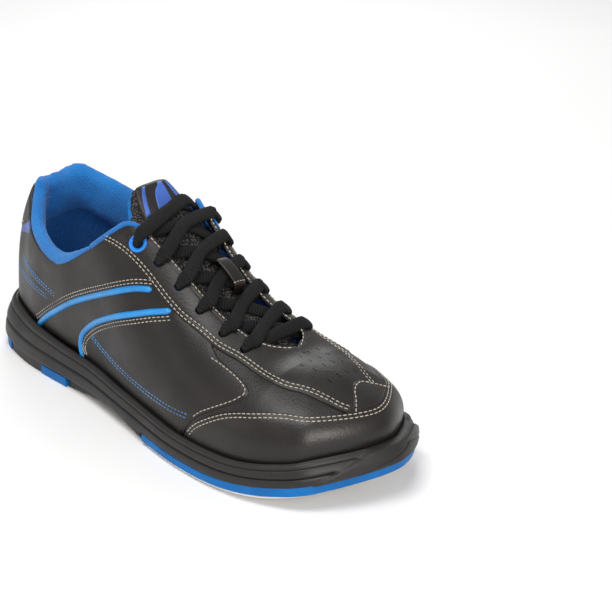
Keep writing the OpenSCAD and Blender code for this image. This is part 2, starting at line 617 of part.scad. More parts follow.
// Direction down the throat, across the flat of the lace
DOWN_THROAT = [1, 0, -0.8];
module lace() {
    last = len(ROUTE) - 1;
    function ring(i) = let(
        way = unit(ROUTE[min(i + 1, last)][0] - ROUTE[max(i - 1, 0)][0]),
        side = unit(DOWN_THROAT - way * (DOWN_THROAT * way)), thick = cross(way, side), w = ROUTE[i][1] / 2)
        [for (a = [0:45:315]) ROUTE[i][0] + side * w * cos(a) + thick * lace_t / 2 * sin(a)];
    color(black) through([for (i = [0:last]) ring(i)]);
}
aglet_r = 1.2;
module aglet(q, w_from, w_to) {
    from = skin_pt(q, w_from, tuck_d);
    to = skin_pt(q, w_to, tuck_d);
    way = to - from;
    translate(from) rotate([0, acos(way[2] / norm(way)), atan2(way[1], way[0])])
        cylinder(h = norm(way), r = aglet_r, $fn = 24);
}
module aglets() {
    color(black) {
        aglet(20.8, 0.48, 0.38);
        aglet(21.05, 0.49, 0.39);
    }
}

outsole();
forefoot_plate();
slide_pad();
heel_pad();
heel_lugs();
shank_panel_lateral();
shank_panel_medial();
shank_stripe();
midsole();
steel_shank();
insole_board();
sockliner();
shell_lining();
heel_counter();
toe_puff();
mudguard();
toe_patch();
vamp();
vamp_side_lateral();
vamp_side_medial();
side_panel_lateral();
side_panel_medial();
arc_band_lateral();
arc_band_medial();
lower_piping_lateral();
lower_piping_medial();
upper_piping_lateral();
upper_piping_medial();
quarter_lateral();
quarter_medial();
heel_stripe();
heel_tab();
eyestay_lateral();
eyestay_medial();
eyelet_rings();
collar_roll();
collar_padding();
tongue();
tongue_lining();
tongue_emblem();
tongue_anchor();
lace_keeper();
lace();
aglets();
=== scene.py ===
"""Visual model of a black and blue bowling shoe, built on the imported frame.

Lengths are in millimetres until a mesh is made."""

import math

import bmesh
import bpy
import numpy as np
from mathutils import Matrix, Vector


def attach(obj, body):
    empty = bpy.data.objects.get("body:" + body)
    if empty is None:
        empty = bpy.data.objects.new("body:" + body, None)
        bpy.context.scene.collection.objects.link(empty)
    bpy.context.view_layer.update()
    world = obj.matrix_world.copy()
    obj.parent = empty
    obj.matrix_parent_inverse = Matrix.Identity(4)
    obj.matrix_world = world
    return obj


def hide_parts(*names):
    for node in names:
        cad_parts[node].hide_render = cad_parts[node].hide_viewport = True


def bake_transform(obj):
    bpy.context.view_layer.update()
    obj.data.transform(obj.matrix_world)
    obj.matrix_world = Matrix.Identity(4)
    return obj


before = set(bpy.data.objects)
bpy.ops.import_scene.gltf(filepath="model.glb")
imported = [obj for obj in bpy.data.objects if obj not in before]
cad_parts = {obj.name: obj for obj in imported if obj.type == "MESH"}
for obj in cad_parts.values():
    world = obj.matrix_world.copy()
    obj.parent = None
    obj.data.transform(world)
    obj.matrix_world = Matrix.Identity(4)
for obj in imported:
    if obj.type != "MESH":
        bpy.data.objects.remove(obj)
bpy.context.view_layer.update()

MM = 0.001
SHOE = "shoe"
TONGUE = "tongue_pad"

# ---- The last, as in the CAD source: stations 0 (heel back) to 14 (toe tip), the medial side is 14 to 28
AROUND = 28
TOE = 14
STATION_X = [1, 6, 16, 33, 56, 84, 113, 142, 170, 196, 221, 244, 265, 283]
HALF_LAT = [0, 17, 28, 34.5, 38, 38.5, 39.5, 43.5, 48, 51.5, 52, 49.5, 42.5, 29]
HALF_MED = [0, 17, 28, 34.5, 37.5, 36.5, 34, 35, 40, 46.5, 51.5, 54, 51.5, 42]
TIP = (150, 9)
SIDE_SHIFT = -1
LENGTH_SCALE = 300 / 299
RIDGE_Z = [122, 122, 122, 126, 140, 150, 138, 118, 95, 76, 66, 59, 55, 54, 54]
RIDGE_END_Z = 58
FEATHER_Z = [29, 29, 28, 27, 25, 23, 21, 19, 18, 17, 17, 18, 21, 25, 28]
FEATHER_IN = [10, 11, 10.5, 10, 8, 6, 6, 6, 6, 6, 6, 6, 7, 8, 9]
ROUND_Y = [1.7, 1.6, 1.5, 1.6, 2.4, 3.8, 3.6, 3, 2.4, 2.2, 2.2, 2.3, 2.4, 2.4, 2.4]
ROUND_Z = [2.2, 2.2, 2.2, 2.2, 2.4, 2.8, 3.2, 3.2, 2.2, 2, 2.1, 2.3, 2.4, 2.4, 2.4]
BULGE_LAT = [1, 0, 0, 0, 1, 2, 3, 3, 2, 1.5, 1.5, 1.5, 1, 1, 1]
BULGE_MED = [1, 1, 1, 2, 3, 5, 7, 7, 5, 3, 2, 1.5, 1, 1, 1]
COLLAR_LAT = [96, 98, 97, 88, 77, 74, 90, 112]
COLLAR_MED = [96, 98, 102, 105, 97, 90, 96, 112]
RIDGE_X = (-106, 94)
ROW_Q = [7.2, 7.65, 8.15, 8.7, 9.35, 9.95]
HOLE_LAT = [0.61, 0.67, 0.7, 0.72, 0.73, 0.74]
HOLE_MED = [0.57, 0.62, 0.64, 0.66, 0.68, 0.7]

# Edges of the panels: station and height
UPPER_ARC = [(3.93, 25), (4.62, 39), (5.5, 55), (6.53, 70), (7.33, 80), (7.75, 82)]
LOWER_ARC = [(5.62, 20), (5.57, 27), (5.64, 35), (5.85, 42), (6.3, 51.5), (7.03, 62.5), (7.75, 70.5),
             (8.25, 74)]
MUDGUARD_TOP = [(9.2, 15), (9.4, 23), (9.65, 29.5), (10.05, 36), (10.5, 41), (11.1, 44), (12, 45.5), (14, 45)]
SIDE_FRONT_LOW = [(9.2, 15), (9.4, 24), (9.6, 30), (9.85, 35), (10.35, 42), (10.62, 45.6), (10.76, 48.4)]
SIDE_FRONT_TOP = [(8.2, 95), (9.0, 73), (9.3, 63), (9.6, 58.9), (9.85, 57.2), (10.28, 54.4), (10.6, 52),
                  (10.76, 50)]
STRIPE_LOW = [(0, 66), (1.9, 67), (3.3, 75), (4.3, 84)]
STRIPE_HIGH = [(0, 72), (1.9, 73), (3.05, 81), (4.1, 91)]
# Edges of the panels: station and share of the way up to the ridge
EYESTAY_EDGE = [(6.3, 0.375), (6.9, 0.45), (7.62, 0.53), (8.38, 0.57), (8.95, 0.615), (9.47, 0.625),
                (10, 0.65), (10.7, 0.662), (11.5, 0.672), (12.3, 0.678), (12.9, 0.648), (13.2, 0.58),
                (13.42, 0.46), (13.6, 0.36)]
THROAT_EDGE = [(6.75, 0.66), (6.95, 0.7), (7.2, 0.73), (7.65, 0.77), (8.15, 0.8), (8.7, 0.82), (9.35, 0.83),
               (9.9, 0.84), (10.15, 0.88), (10.32, 0.93), (10.45, 1.0)]
TOE_PATCH_TOP = [(13.52, 0.4), (13.6, 0.47), (13.7, 0.57), (13.8, 0.64), (13.95, 0.68), (14.15, 0.695),
                 (14.4, 0.68), (14.6, 0.6), (14.8, 0.47), (14.95, 0.38)]
TOP_LINE = [(6.1, 0.305), (6.3, 0.36), (6.5, 0.43), (6.68, 0.515), (6.8, 0.59), (6.93, 0.648), (7.08, 0.69),
            (7.3, 0.735)]
THROAT_END = 10.46
SIDES = ("lateral", "medial")


def catmull(a, b, c, d, t):
    square, cube = 2 * a - 5 * b + 4 * c - d, 3 * b - a - 3 * c + d
    return 0.5 * (2 * b + (c - a) * t + square * t * t + cube * t ** 3)


def on_row(values, q):
    values = np.asarray(values, float)
    last = len(values) - 1
    i = np.floor(q).astype(int)
    a, b, c, d = (values[np.clip(i + k, 0, last)] for k in (-1, 0, 1, 2))
    return catmull(a, b, c, d, q - i)


def fold(q):
    r = np.mod(q, AROUND)
    return np.where(r > TOE, AROUND - r, r)


def is_medial(q):
    return np.mod(q, AROUND) > TOE


def by_station(values, q):
    return on_row(values, fold(q))


def by_side(lateral, medial, q):
    return np.where(is_medial(q), by_station(medial, q), by_station(lateral, q))


def ease(t):
    c = np.clip(t, 0, 1)
    return c * c * (3 - 2 * c)


def mix(a, b, t):
    return a + (b - a) * t


def unit(v):
    return v / np.maximum(np.linalg.norm(v, axis=-1, keepdims=True), 1e-9)


def outline_point(k):
    i = AROUND - k if k > TOE else k
    if i == TOE:
        return TIP
    side = HALF_MED[i] if k > TOE else -HALF_LAT[i]
    return (STATION_X[i] - 150.5) * LENGTH_SCALE, side + SIDE_SHIFT


OUTLINE = np.array([outline_point(k) for k in range(AROUND)], float)


def on_outline(q):
    i = np.floor(q).astype(int)
    a, b, c, d = (OUTLINE[np.mod(i + k, AROUND)] for k in (-1, 0, 1, 2))
    return catmull(a, b, c, d, (q - i)[..., None])


def outward(q):
    d = unit(on_outline(q + 0.01) - on_outline(q - 0.01))
    return np.stack([d[..., 1], -d[..., 0]], -1)


def plan(q, inset):
    q = np.asarray(q, float)
    return on_outline(q) - outward(q) * np.asarray(inset, float)[..., None]


def feather_in(q):
    return by_station(FEATHER_IN, q)


def feather_z(q):
    return by_station(FEATHER_Z, q)


def ridge_xy(q):
    x = np.clip(plan(q, feather_in(q))[..., 0], *RIDGE_X)
    y = 6 * ease((x - 20) / (RIDGE_X[1] - 20)) + 4 * ease((-60 - x) / 40) + SIDE_SHIFT
    return np.stack([x, y], -1)


def last_pt(q, w):
    """Point of the upper at station q, share w of the way from the sole to the ridge."""
    q, w = np.broadcast_arrays(np.asarray(q, float), np.asarray(w, float))
    phi = np.radians(90) * np.clip(w, 0, 1)
    v = np.sin(phi) ** (2 / by_station(ROUND_Z, q))
    g = 1 - np.maximum(np.cos(phi), 0) ** (2 / by_station(ROUND_Y, q))
    bulge = by_side(BULGE_LAT, BULGE_MED, q) * 4 * v * (1 - v)
    xy = mix(plan(q, feather_in(q)), ridge_xy(q), g[..., None]) + outward(q) * bulge[..., None]
    top = mix(by_station(RIDGE_Z, q), RIDGE_END_Z, ease(fold(q) - 10) * ease((w - 0.55) / 0.45))
    z = mix(feather_z(q), top, v)
    return np.concatenate([xy, z[..., None]], -1)


def slopes(q, w):
    """How the surface runs along the stations and up towards the ridge."""
    w = np.clip(w, 0.02, 0.985)
    along = (last_pt(q + 0.02, w) - last_pt(q - 0.02, w)) / 0.04
    up = (last_pt(q, w + 0.01) - last_pt(q, w - 0.01)) / 0.02
    return along, up


def last_normal(q, w):
    q, w = np.broadcast_arrays(np.asarray(q, float), np.asarray(w, float))
    dq, dw = slopes(q, w)
    return unit(np.cross(dq, dw))


def skin(q, w, d):
    """Point d off the last."""
    return last_pt(q, w) + last_normal(q, w) * np.asarray(d, float)[..., None]


def share_at(q, z):
    """Share of the way up at which the last reaches a height."""
    low = feather_z(q)
    v = np.clip((z - low) / (by_station(RIDGE_Z, q) - low), 0, 1)
    return np.arcsin(v ** (by_station(ROUND_Z, q) / 2)) / np.radians(90)


def collar_z(q):
    near = np.minimum(fold(q), 7)
    return np.where(is_medial(q), on_row(COLLAR_MED, near), on_row(COLLAR_LAT, near))


def collar_w(q, drop):
    """Share of the collar's edge, lowered by drop."""
    return share_at(q, collar_z(q) - drop)


def edge(points, soft=0.25):
    """Smooth function of station through the points, straight beyond its two ends."""
    x, y = np.array(points, float).T
    s = np.arange(x[0] - 1, x[-1] + 1, 0.02)
    v = np.interp(s, x, y)
    first = (y[1] - y[0]) / (x[1] - x[0])
    final = (y[-1] - y[-2]) / (x[-1] - x[-2])
    v = np.where(s < x[0], y[0] + (s - x[0]) * first, v)
    v = np.where(s > x[-1], y[-1] + (s - x[-1]) * final, v)
    half = max(1, int(soft / 0.02))
    kernel = np.hanning(2 * half + 1)
    padded = np.concatenate([np.full(half, v[0]), v, np.full(half, v[-1])])
    v = np.convolve(padded, kernel / kernel.sum(), "valid")
    return lambda q: np.interp(fold(q), s, v)


def raised(height, up):
    """Share of an edge given as heights, moved up by up square to the edge."""
    def w(q):
        s = fold(q)
        slope = (height(s + 0.05) - height(s - 0.05)) / 2.8
        return share_at(q, height(q) + up * np.sqrt(1 + slope * slope))
    return w


# ---- Meshes
def mesh_object(name, verts, faces, material, body=SHOE, slot=None, smooth=True, uv=None):
    """New piece that rides on a body, with the given material; slot is not used."""
    mesh = bpy.data.meshes.new(name)
    loops = faces.tolist() if isinstance(faces, np.ndarray) else faces
    mesh.from_pydata((np.asarray(verts) * MM).tolist(), [], loops)
    mesh.materials.append(material)
    mesh.polygons.foreach_set("use_smooth", [smooth] * len(mesh.polygons))
    if uv is not None:
        layer = mesh.uv_layers.new(name="UVMap")
        index = np.empty(len(mesh.loops), int)
        mesh.loops.foreach_get("vertex_index", index)
        layer.data.foreach_set("uv", np.asarray(uv, float)[index].ravel())
    mesh.update()
    obj = bpy.data.objects.new(name, mesh)
    bpy.context.scene.collection.objects.link(obj)
    if body:
        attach(obj, body)
    return obj


def fix_normals(obj, weld=0.0):
    b = bmesh.new()
    b.from_mesh(obj.data)
    if weld:
        bmesh.ops.remove_doubles(b, verts=b.verts, dist=weld)
    bmesh.ops.recalc_face_normals(b, faces=b.faces)
    b.to_mesh(obj.data)
    b.free()


def quads(m, n, start=0, wrap_m=False, wrap_n=False, flip=False):
    """Four-sided faces of a grid of m rows by n columns, closed round on itself where asked."""
    i = np.arange(m if wrap_m else m - 1)[:, None]
    j = np.arange(n if wrap_n else n - 1)[None, :]
    a = start + i * n + j
    b = start + i * n + (j + 1) % n
    c = start + ((i + 1) % m) * n + j
    d = start + ((i + 1) % m) * n + (j + 1) % n
    ring = [a, b, d, c] if flip else [a, c, d, b]
    return np.stack(np.broadcast_arrays(*ring), -1).reshape(-1, 4)


def border(m, n):
    """Indices round the edge of a grid."""
    top = list(range(n))
    right = [i * n + n - 1 for i in range(1, m)]
    bottom = [(m - 1) * n + j for j in range(n - 2, -1, -1)]
    left = [i * n for i in range(m - 2, 0, -1)]
    return np.array(top + right + bottom + left)


def sheet_parts(outer, inner):
    """Closed sheet: vertices and faces between an outer and an inner grid."""
    m, n = outer.shape[:2]
    half = m * n
    b = border(m, n)
    nxt = np.roll(b, -1)
    rim = np.stack([b, nxt, nxt + half, b + half], -1)
    verts = np.concatenate([outer.reshape(-1, 3), inner.reshape(-1, 3)])
    return verts, np.concatenate([quads(m, n), quads(m, n, half, flip=True), rim])


def tube_parts(rings):
    """Walls through rings of points, with a fan over each end."""
    m, n = rings.shape[:2]
    verts = np.concatenate([rings.reshape(-1, 3), rings[0].mean(0)[None], rings[-1].mean(0)[None]])
    walls = quads(m, n, wrap_n=True).tolist()
    first, last = m * n, m * n + 1
    row = (m - 1) * n
    start = [[first, k, (k + 1) % n] for k in range(n)]
    end = [[last, row + (k + 1) % n, row + k] for k in range(n)]
    return verts, walls + start + end


def join_parts(parts):
    """Several meshes as one."""
    verts, faces, base = [], [], 0
    for v, f in parts:
        f = f.tolist() if isinstance(f, np.ndarray) else f
        verts.append(v)
        faces += [[base + i for i in face] for face in f]
        base += len(v)
    return np.concatenate(verts), faces


EDGE_STEPS = np.array([0, 0.12, 0.4, 0.8, 1.3, 2.0])
EDGE_ROUND = 1.1
STITCH_ROWS = (1.5, 3.4)
FURROW_DEPTH, FURROW_HALF = 0.16, 0.45
BEYOND = 99.0


def path_length(points):
    return np.linalg.norm(np.diff(points, axis=0), axis=-1).sum()


def with_edges(length, count, free_start, free_end):
    """Places from 0 to 1 with close rows near the free edges."""
    e = np.minimum(EDGE_STEPS / length, 0.3)
    inner = np.linspace(e[-1] if free_start else 0, 1 - e[-1] if free_end else 1, count)
    start = e[:-1] if free_start else []
    end = 1 - e[:-1][::-1] if free_end else []
    return np.concatenate([start, inner, end])


def panel_grid(q0, q1, lo, hi, step, rows, free):
    """Stations and shares of a panel, and how far each point is from its start, end, low and high edge."""
    middle = np.linspace(q0, q1, 40)
    run = path_length(last_pt(middle, (lo(middle) + hi(middle)) / 2))
    u = with_edges(run, max(8, int((q1 - q0) / step)), free[0], free[1])
    q = q0 + (q1 - q0) * u
    low, high = lo(q), hi(q)
    arcs = last_pt(q[:, None], low[:, None] + (high - low)[:, None] * np.linspace(0, 1, 9))
    tall = np.maximum(np.linalg.norm(np.diff(arcs, axis=1), axis=-1).sum(1), 1.0)
    v = np.stack([with_edges(t, rows, free[2], free[3]) for t in tall])
    w = low[:, None] + (high - low)[:, None] * v
    u = u[:, None] + 0 * w
    return q, w, [u * run, (1 - u) * run, v * tall[:, None], (1 - v) * tall[:, None]]


def leather_depth(far, top, thick, puff, furrows):
    """Outer face of a sheet, off the last, with a rolled edge and a furrow under each row of stitches."""
    inside = 1 - np.clip(far / EDGE_ROUND, 0, 1)
    d = top - thick * 0.8 * (1 - np.sqrt(np.clip(1 - inside ** 2, 0, 1)))
    d = d + puff * (1 - np.exp(-far / 4))
    for furrow in furrows:
        d = d - FURROW_DEPTH * np.exp(-((far - furrow) / FURROW_HALF) ** 2)
    return d


def swells(p):
    """Slow rise and fall of soft leather."""
    x, z = p[..., 0], p[..., 2]
    return 0.16 * np.sin(x / 13 + 1.3 * np.sin(z / 17)) * np.sin(z / 11 + x / 29)


def panel_parts(q0, q1, lo, hi, top=0.0, thick=1.3, step=0.06, rows=22, puff=0.45, furrows=STITCH_ROWS,
                free=(1, 1, 1, 1), joined=None, buried=None):
    """Sheet of leather with rolled edges. free says which edges are cut: start, end, low and high.
    joined(q) is 1 where the high edge meets its neighbour, and buried(q) where the low edge runs into
    the sole: neither is rolled."""
    q, w, distances = panel_grid(q0, q1, lo, hi, step, rows, free)
    if joined:
        distances[3] = distances[3] + BEYOND * joined(q)[:, None]
    if buried:
        distances[2] = distances[2] + BEYOND * buried(q)[:, None]
    far = np.full(w.shape, BEYOND)
    for is_free, distance in zip(free, distances):
        if is_free:
            far = np.minimum(far, distance)
    stations = q[:, None] + 0 * w
    p, n = last_pt(stations, w), last_normal(stations, w)
    d = leather_depth(far, top, thick, puff, furrows) + swells(p) * np.clip(far / 6, 0, 1)
    return (q, *sheet_parts(p + n * d[..., None], p + n * (top - thick)))


def weld_ridge(verts, faces, m, n, on_ridge):
    """Joins the two sides of a sheet along the last column, in the rows that meet on the ridge."""
    half = m * n
    rows = np.nonzero(on_ridge)[0]
    for base in (0, half):
        for i in rows:
            a, b = base + i * n + n - 1, base + (m - 1 - i) * n + n - 1
            verts[a] = verts[b] = (verts[a] + verts[b]) / 2
    shut = {int(base + i * n + n - 1) for i in rows for base in (0, half)}
    keep = [face for face in faces.tolist() if not all(k in shut for k in face)]
    return verts, keep


def panel(name, stands_for, q0, q1, lo, hi, material, slot="upper_leather", **shape):
    verts, faces = panel_parts(q0, q1, lo, hi, **shape)[1:]
    obj = mesh_object(name, verts, faces, material, SHOE, slot)
    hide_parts(stands_for)


def ends(side, q0, q1):
    """The two ends of a panel, in order, on either side of the shoe."""
    return (q0, q1) if side == "lateral" else (AROUND - q1, AROUND - q0)


def free_ends(side, start, end, low, high):
    return (start, end, low, high) if side == "lateral" else (end, start, low, high)


def smooth_path(points, per=16):
    """Catmull-Rom curve through points, ends included."""
    p = np.asarray(points, float)
    t = np.linspace(0, len(p) - 1, (len(p) - 1) * per + 1)
    i = np.minimum(np.floor(t).astype(int), len(p) - 2)
    a, b, c, d = (p[np.clip(i + k, 0, len(p) - 1)] for k in (-1, 0, 1, 2))
    return catmull(a, b, c, d, (t - i)[:, None])


def surface_path(points, heights=False, shift=0.0, medial=False):
    """Fine (q, w) path through points, moved shift mm to its left on the surface."""
    path = smooth_path(points)
    q = path[:, 0]
    if medial:
        q = AROUND - q
    w = share_at(q, path[:, 1]) if heights else np.clip(path[:, 1], 0, 0.999)
    if shift:
        p = last_pt(q, w)
        way = unit(np.gradient(p, axis=0))
        off = np.cross(last_normal(q, w), way) * shift * (-1 if medial else 1)
        dq, dw = slopes(q, w)
        a, b, c = (dq * dq).sum(-1), (dq * dw).sum(-1), (dw * dw).sum(-1)
        e, f = (off * dq).sum(-1), (off * dw).sum(-1)
        det = a * c - b * b
        q, w = q + (c * e - b * f) / det, w + (a * f - b * e) / det
    return q, np.clip(w, 0, 0.999)


def resample(points, extra, pitch):
    """Points at equal distances along a path, with the extra vectors taken along."""
    length = np.concatenate([[0], np.cumsum(np.linalg.norm(np.diff(points, axis=0), axis=-1))])
    at = np.arange(pitch / 2, length[-1], pitch)
    take = lambda values: np.stack([np.interp(at, length, values[:, k]) for k in range(3)], -1)
    return take(points), unit(take(extra))


STITCH_PITCH = 2.7
STITCH_LONG = 1.95
STITCH_R = 0.27
STITCH_T = np.array([-1, -0.85, -0.4, 0, 0.4, 0.85, 1])
STITCH_FAT = np.array([0.3, 0.75, 1, 1.05, 1, 0.75, 0.3])


def stitch_parts(points, normals, pitch=STITCH_PITCH):
    """One small rounded thread for each stitch along a path on the surface."""
    p, n = resample(points, normals, pitch)
    way = unit(np.gradient(p, axis=0))
    side = np.cross(n, way)
    angle = np.radians(np.arange(0, 360, 60))
    half = STITCH_LONG / 2 * pitch / STITCH_PITCH
    dip = n[:, None] * (0.5 * STITCH_R * np.abs(STITCH_T) ** 3)[None, :, None]
    centre = p[:, None] + way[:, None] * (STITCH_T * half)[None, :, None] - dip
    ring = side[:, None, None] * np.cos(angle)[None, None, :, None]
    ring = ring + n[:, None, None] * np.sin(angle)[None, None, :, None]
    rings = centre[:, :, None] + ring * (STITCH_FAT * STITCH_R)[None, :, None, None]
    return join_parts([tube_parts(r) for r in rings])


def seam(points, heights=False, shift=0.0, medial=False, d=0.5):
    """Stitches along points on the surface, moved shift to one side."""
    q, w = surface_path(points, heights, shift, medial)
    return stitch_parts(skin(q, w, np.full(q.shape, d)), last_normal(q, w))


# ---- Materials
def material(name):
    mat = bpy.data.materials.new(name)
    mat.use_nodes = True
    return mat, mat.node_tree, mat.node_tree.nodes["Principled BSDF"]


def node(tree, kind, **inputs):
    n = tree.nodes.new(kind)
    for key, value in inputs.items():
        socket = n.inputs[key.replace("_", " ")]
        if isinstance(value, bpy.types.NodeSocket):
            tree.links.new(value, socket)
        else:
            socket.default_value = value
    return n


def place(tree, rotation=(0, 0, 0), uv=False):
    """Object coordinates in metres, or the surface's own, turned by rotation."""
    coords = tree.nodes.new("ShaderNodeTexCoord")
    mapping = node(tree, "ShaderNodeMapping", Vector=coords.outputs["UV" if uv else "Object"])
    mapping.inputs["Rotation"].default_value = rotation
    return mapping.outputs["Vector"]


def noise(tree, scale, detail=4, roughness=0.5):
    n = node(tree, "ShaderNodeTexNoise", Scale=scale, Detail=detail, Roughness=roughness)
    tree.links.new(place(tree), n.inputs["Vector"])
    return n.outputs["Fac"]


def cells(tree, scale, feature="F1"):
    n = tree.nodes.new("ShaderNodeTexVoronoi")
    n.feature = feature
    n.inputs["Scale"].default_value = scale
    tree.links.new(place(tree), n.inputs["Vector"])
    return n.outputs["Distance"]


def ramp(tree, fac, stops):
    n = tree.nodes.new("ShaderNodeValToRGB")
    tree.links.new(fac, n.inputs["Fac"])
    while len(n.color_ramp.elements) < len(stops):
        n.color_ramp.elements.new(0.5)
    for element, (position, colour) in zip(n.color_ramp.elements, stops):
        element.position = position
        value = colour if isinstance(colour, tuple) else (colour,) * 3
        element.color = (*value, 1)
    return n.outputs["Color"]


def math_node(tree, operation, a, b=0.0):
    n = tree.nodes.new("ShaderNodeMath")
    n.operation = operation
    for socket, value in zip(n.inputs, (a, b)):
        if isinstance(value, bpy.types.NodeSocket):
            tree.links.new(value, socket)
        else:
            socket.default_value = value
    return n.outputs[0]


def plus(tree, a, b):
    return math_node(tree, "ADD", a, b)


def times(tree, a, b):
    return math_node(tree, "MULTIPLY", a, b)


def bump(tree, height, strength, distance):
    return node(tree, "ShaderNodeBump", Height=height, Strength=strength, Distance=distance).outputs["Normal"]


def shade(dark, light, name, grain, rough, relief, sheen=0.0, coat=0.0, specular=0.5, patch=30):
    """Material with a mottled colour, a fine grain and an uneven gloss."""
    mat, tree, bsdf = material(name)
    mottle = ramp(tree, noise(tree, patch, 5), [(0.3, dark), (0.7, light)])
    tree.links.new(mottle, bsdf.inputs["Base Color"])
    gloss = ramp(tree, noise(tree, patch * 2.3, 4), [(0.3, rough[0]), (0.7, rough[1])])
    tree.links.new(gloss, bsdf.inputs["Roughness"])
    tree.links.new(bump(tree, grain(tree), relief[0], relief[1]), bsdf.inputs["Normal"])
    bsdf.inputs["Sheen Weight"].default_value = sheen
    bsdf.inputs["Sheen Roughness"].default_value = 0.5
    bsdf.inputs["Coat Weight"].default_value = coat
    bsdf.inputs["Coat Roughness"].default_value = 0.35
    bsdf.inputs["Specular IOR Level"].default_value = specular
    return mat


def leather_grain(tree):
    pebbles = times(tree, cells(tree, 900), 0.8)
    creases = times(tree, cells(tree, 420, feature="DISTANCE_TO_EDGE"), 0.9)
    return plus(tree, plus(tree, pebbles, creases), times(tree, noise(tree, 1500, 3), 0.5))


def rubber_grain(tree):
    return plus(tree, noise(tree, 1400, 3), times(tree, noise(tree, 260, 3), 0.5))


def nap_grain(tree):
    return plus(tree, noise(tree, 2200, 5, roughness=0.7), times(tree, noise(tree, 500, 3), 0.6))


def waves(tree, scale, distortion, rotation):
    n = node(tree, "ShaderNodeTexWave", Scale=scale, Distortion=distortion)
    tree.links.new(place(tree, rotation), n.inputs["Vector"])
    return n.outputs["Fac"]


def knit_grain(tree):
    """Diamond knit: two crossed families of rounded threads."""
    crossed = [waves(tree, 240.0, 0.6, (turn, turn, 0)) for turn in (0.85, -0.85)]
    return plus(tree, math_node(tree, "MAXIMUM", *crossed), times(tree, noise(tree, 2500, 3), 0.5))


def thread_grain(tree):
    return plus(tree, waves(tree, 900.0, 1.0, (0.6, 0.5, 0.4)), noise(tree, 3000, 2))


def mesh_knit(name, dark, light):
    """Black spacer mesh with small pale flecks between its threads."""
    mat, tree, bsdf = material(name)
    holes = cells(tree, 900)
    flecks = ramp(tree, holes, [(0.0, light), (0.32, tuple(0.4 * c for c in light)), (0.5, dark)])
    tree.links.new(flecks, bsdf.inputs["Base Color"])
    tree.links.new(bump(tree, holes, 0.8, 0.0006), bsdf.inputs["Normal"])
    bsdf.inputs["Roughness"].default_value = 0.85
    bsdf.inputs["Specular IOR Level"].default_value = 0.3
    return mat


def lace_weave(name, dark, light):
    """Ribbed oval lace: chevron ribs along its length, from the surface's own coordinates. Its colour is
    painted shade: darker in the troughs of the ribs than on their crests.
    """
    mat, tree, bsdf = material(name)
    split = tree.nodes.new("ShaderNodeSeparateXYZ")
    tree.links.new(place(tree, uv=True), split.inputs["Vector"])
    across = math_node(tree, "FRACT", times(tree, split.outputs["Y"], 2))
    lean = math_node(tree, "ABSOLUTE", math_node(tree, "SUBTRACT", across, 0.5))
    phase = plus(tree, times(tree, split.outputs["X"], 4.2), times(tree, lean, 9))
    ribs = math_node(tree, "SINE", phase)
    # painted shade: the colour follows the ribs, darker in their troughs and lighter on their crests
    body = ramp(tree, plus(tree, times(tree, ribs, 0.35), 0.5), [(0.1, dark), (0.9, light)])
    tree.links.new(body, bsdf.inputs["Base Color"])
    height = plus(tree, ribs, times(tree, noise(tree, 2600, 4), 1.2))
    tree.links.new(bump(tree, height, 0.7, 0.0004), bsdf.inputs["Normal"])
    bsdf.inputs["Roughness"].default_value = 0.8
    bsdf.inputs["Specular IOR Level"].default_value = 0.25
    return mat


LEATHER_DARK, LEATHER_LIGHT = (0.006, 0.0046, 0.004), (0.0115, 0.009, 0.0078)
BLUE_DARK, BLUE_LIGHT = (0.0, 0.1, 0.33), (0.002, 0.15, 0.46)

leather = shade(LEATHER_DARK, LEATHER_LIGHT, "black_leather", leather_grain, (0.36, 0.5), (0.22, 0.0003),
                specular=0.36, patch=22)
toe_leather = shade(LEATHER_DARK, LEATHER_LIGHT, "toe_leather", leather_grain, (0.33, 0.45),
                    (0.2, 0.0003), specular=0.42, patch=18)
piping_blue = shade((0.0, 0.18, 0.5), (0.008, 0.26, 0.66), "piping_blue", leather_grain, (0.3, 0.42),
                    (0.2, 0.0002), coat=0.15, patch=60)
stripe_blue = shade((0.02, 0.07, 0.3), (0.035, 0.11, 0.42), "stripe_blue", leather_grain, (0.35, 0.5),
                    (0.2, 0.0002), patch=60)
collar_blue = shade((0.0, 0.12, 0.4), (0.002, 0.18, 0.54), "collar_knit", knit_grain, (0.75, 0.9),
                    (0.75, 0.0005), sheen=0.12, patch=45)
lining_blue = shade((0.0, 0.09, 0.32), (0.002, 0.14, 0.45), "lining_knit", knit_grain, (0.8, 0.95),
                    (0.8, 0.0006), sheen=0.1, patch=35)
rubber_black = shade((0.009, 0.008, 0.0078), (0.016, 0.0145, 0.014), "sole_rubber", rubber_grain,
                     (0.42, 0.58), (0.25, 0.0002), specular=0.4, patch=25)
rubber_blue = shade(BLUE_DARK, BLUE_LIGHT, "sole_blue_rubber", rubber_grain, (0.5, 0.65), (0.2, 0.0002),
                    specular=0.25, patch=40)
pad_white = shade((0.62, 0.62, 0.6), (0.8, 0.8, 0.78), "slide_microfibre", nap_grain, (0.85, 0.95),
                  (0.6, 0.0003), sheen=0.3, patch=55)
cream_thread = shade((0.34, 0.3, 0.24), (0.5, 0.45, 0.37), "cream_thread", thread_grain, (0.55, 0.7),
                     (0.6, 0.0001), sheen=0.2, patch=300)
blue_thread = shade((0.03, 0.18, 0.48), (0.07, 0.3, 0.66), "blue_thread", thread_grain, (0.5, 0.65),
                    (0.6, 0.0001), sheen=0.2, patch=300)
ring_blue = shade((0.0, 0.16, 0.62), (0.01, 0.24, 0.8), "ring_paint", rubber_grain, (0.18, 0.28),
                  (0.05, 0.0001), coat=0.6, patch=80)
foam_grey = shade((0.2, 0.2, 0.2), (0.32, 0.32, 0.32), "midsole_foam", nap_grain, (0.8, 0.9), (0.5, 0.0003))
fibre_tan = shade((0.35, 0.26, 0.16), (0.52, 0.4, 0.27), "pressed_fibre", nap_grain, (0.8, 0.92),
                  (0.5, 0.0003))
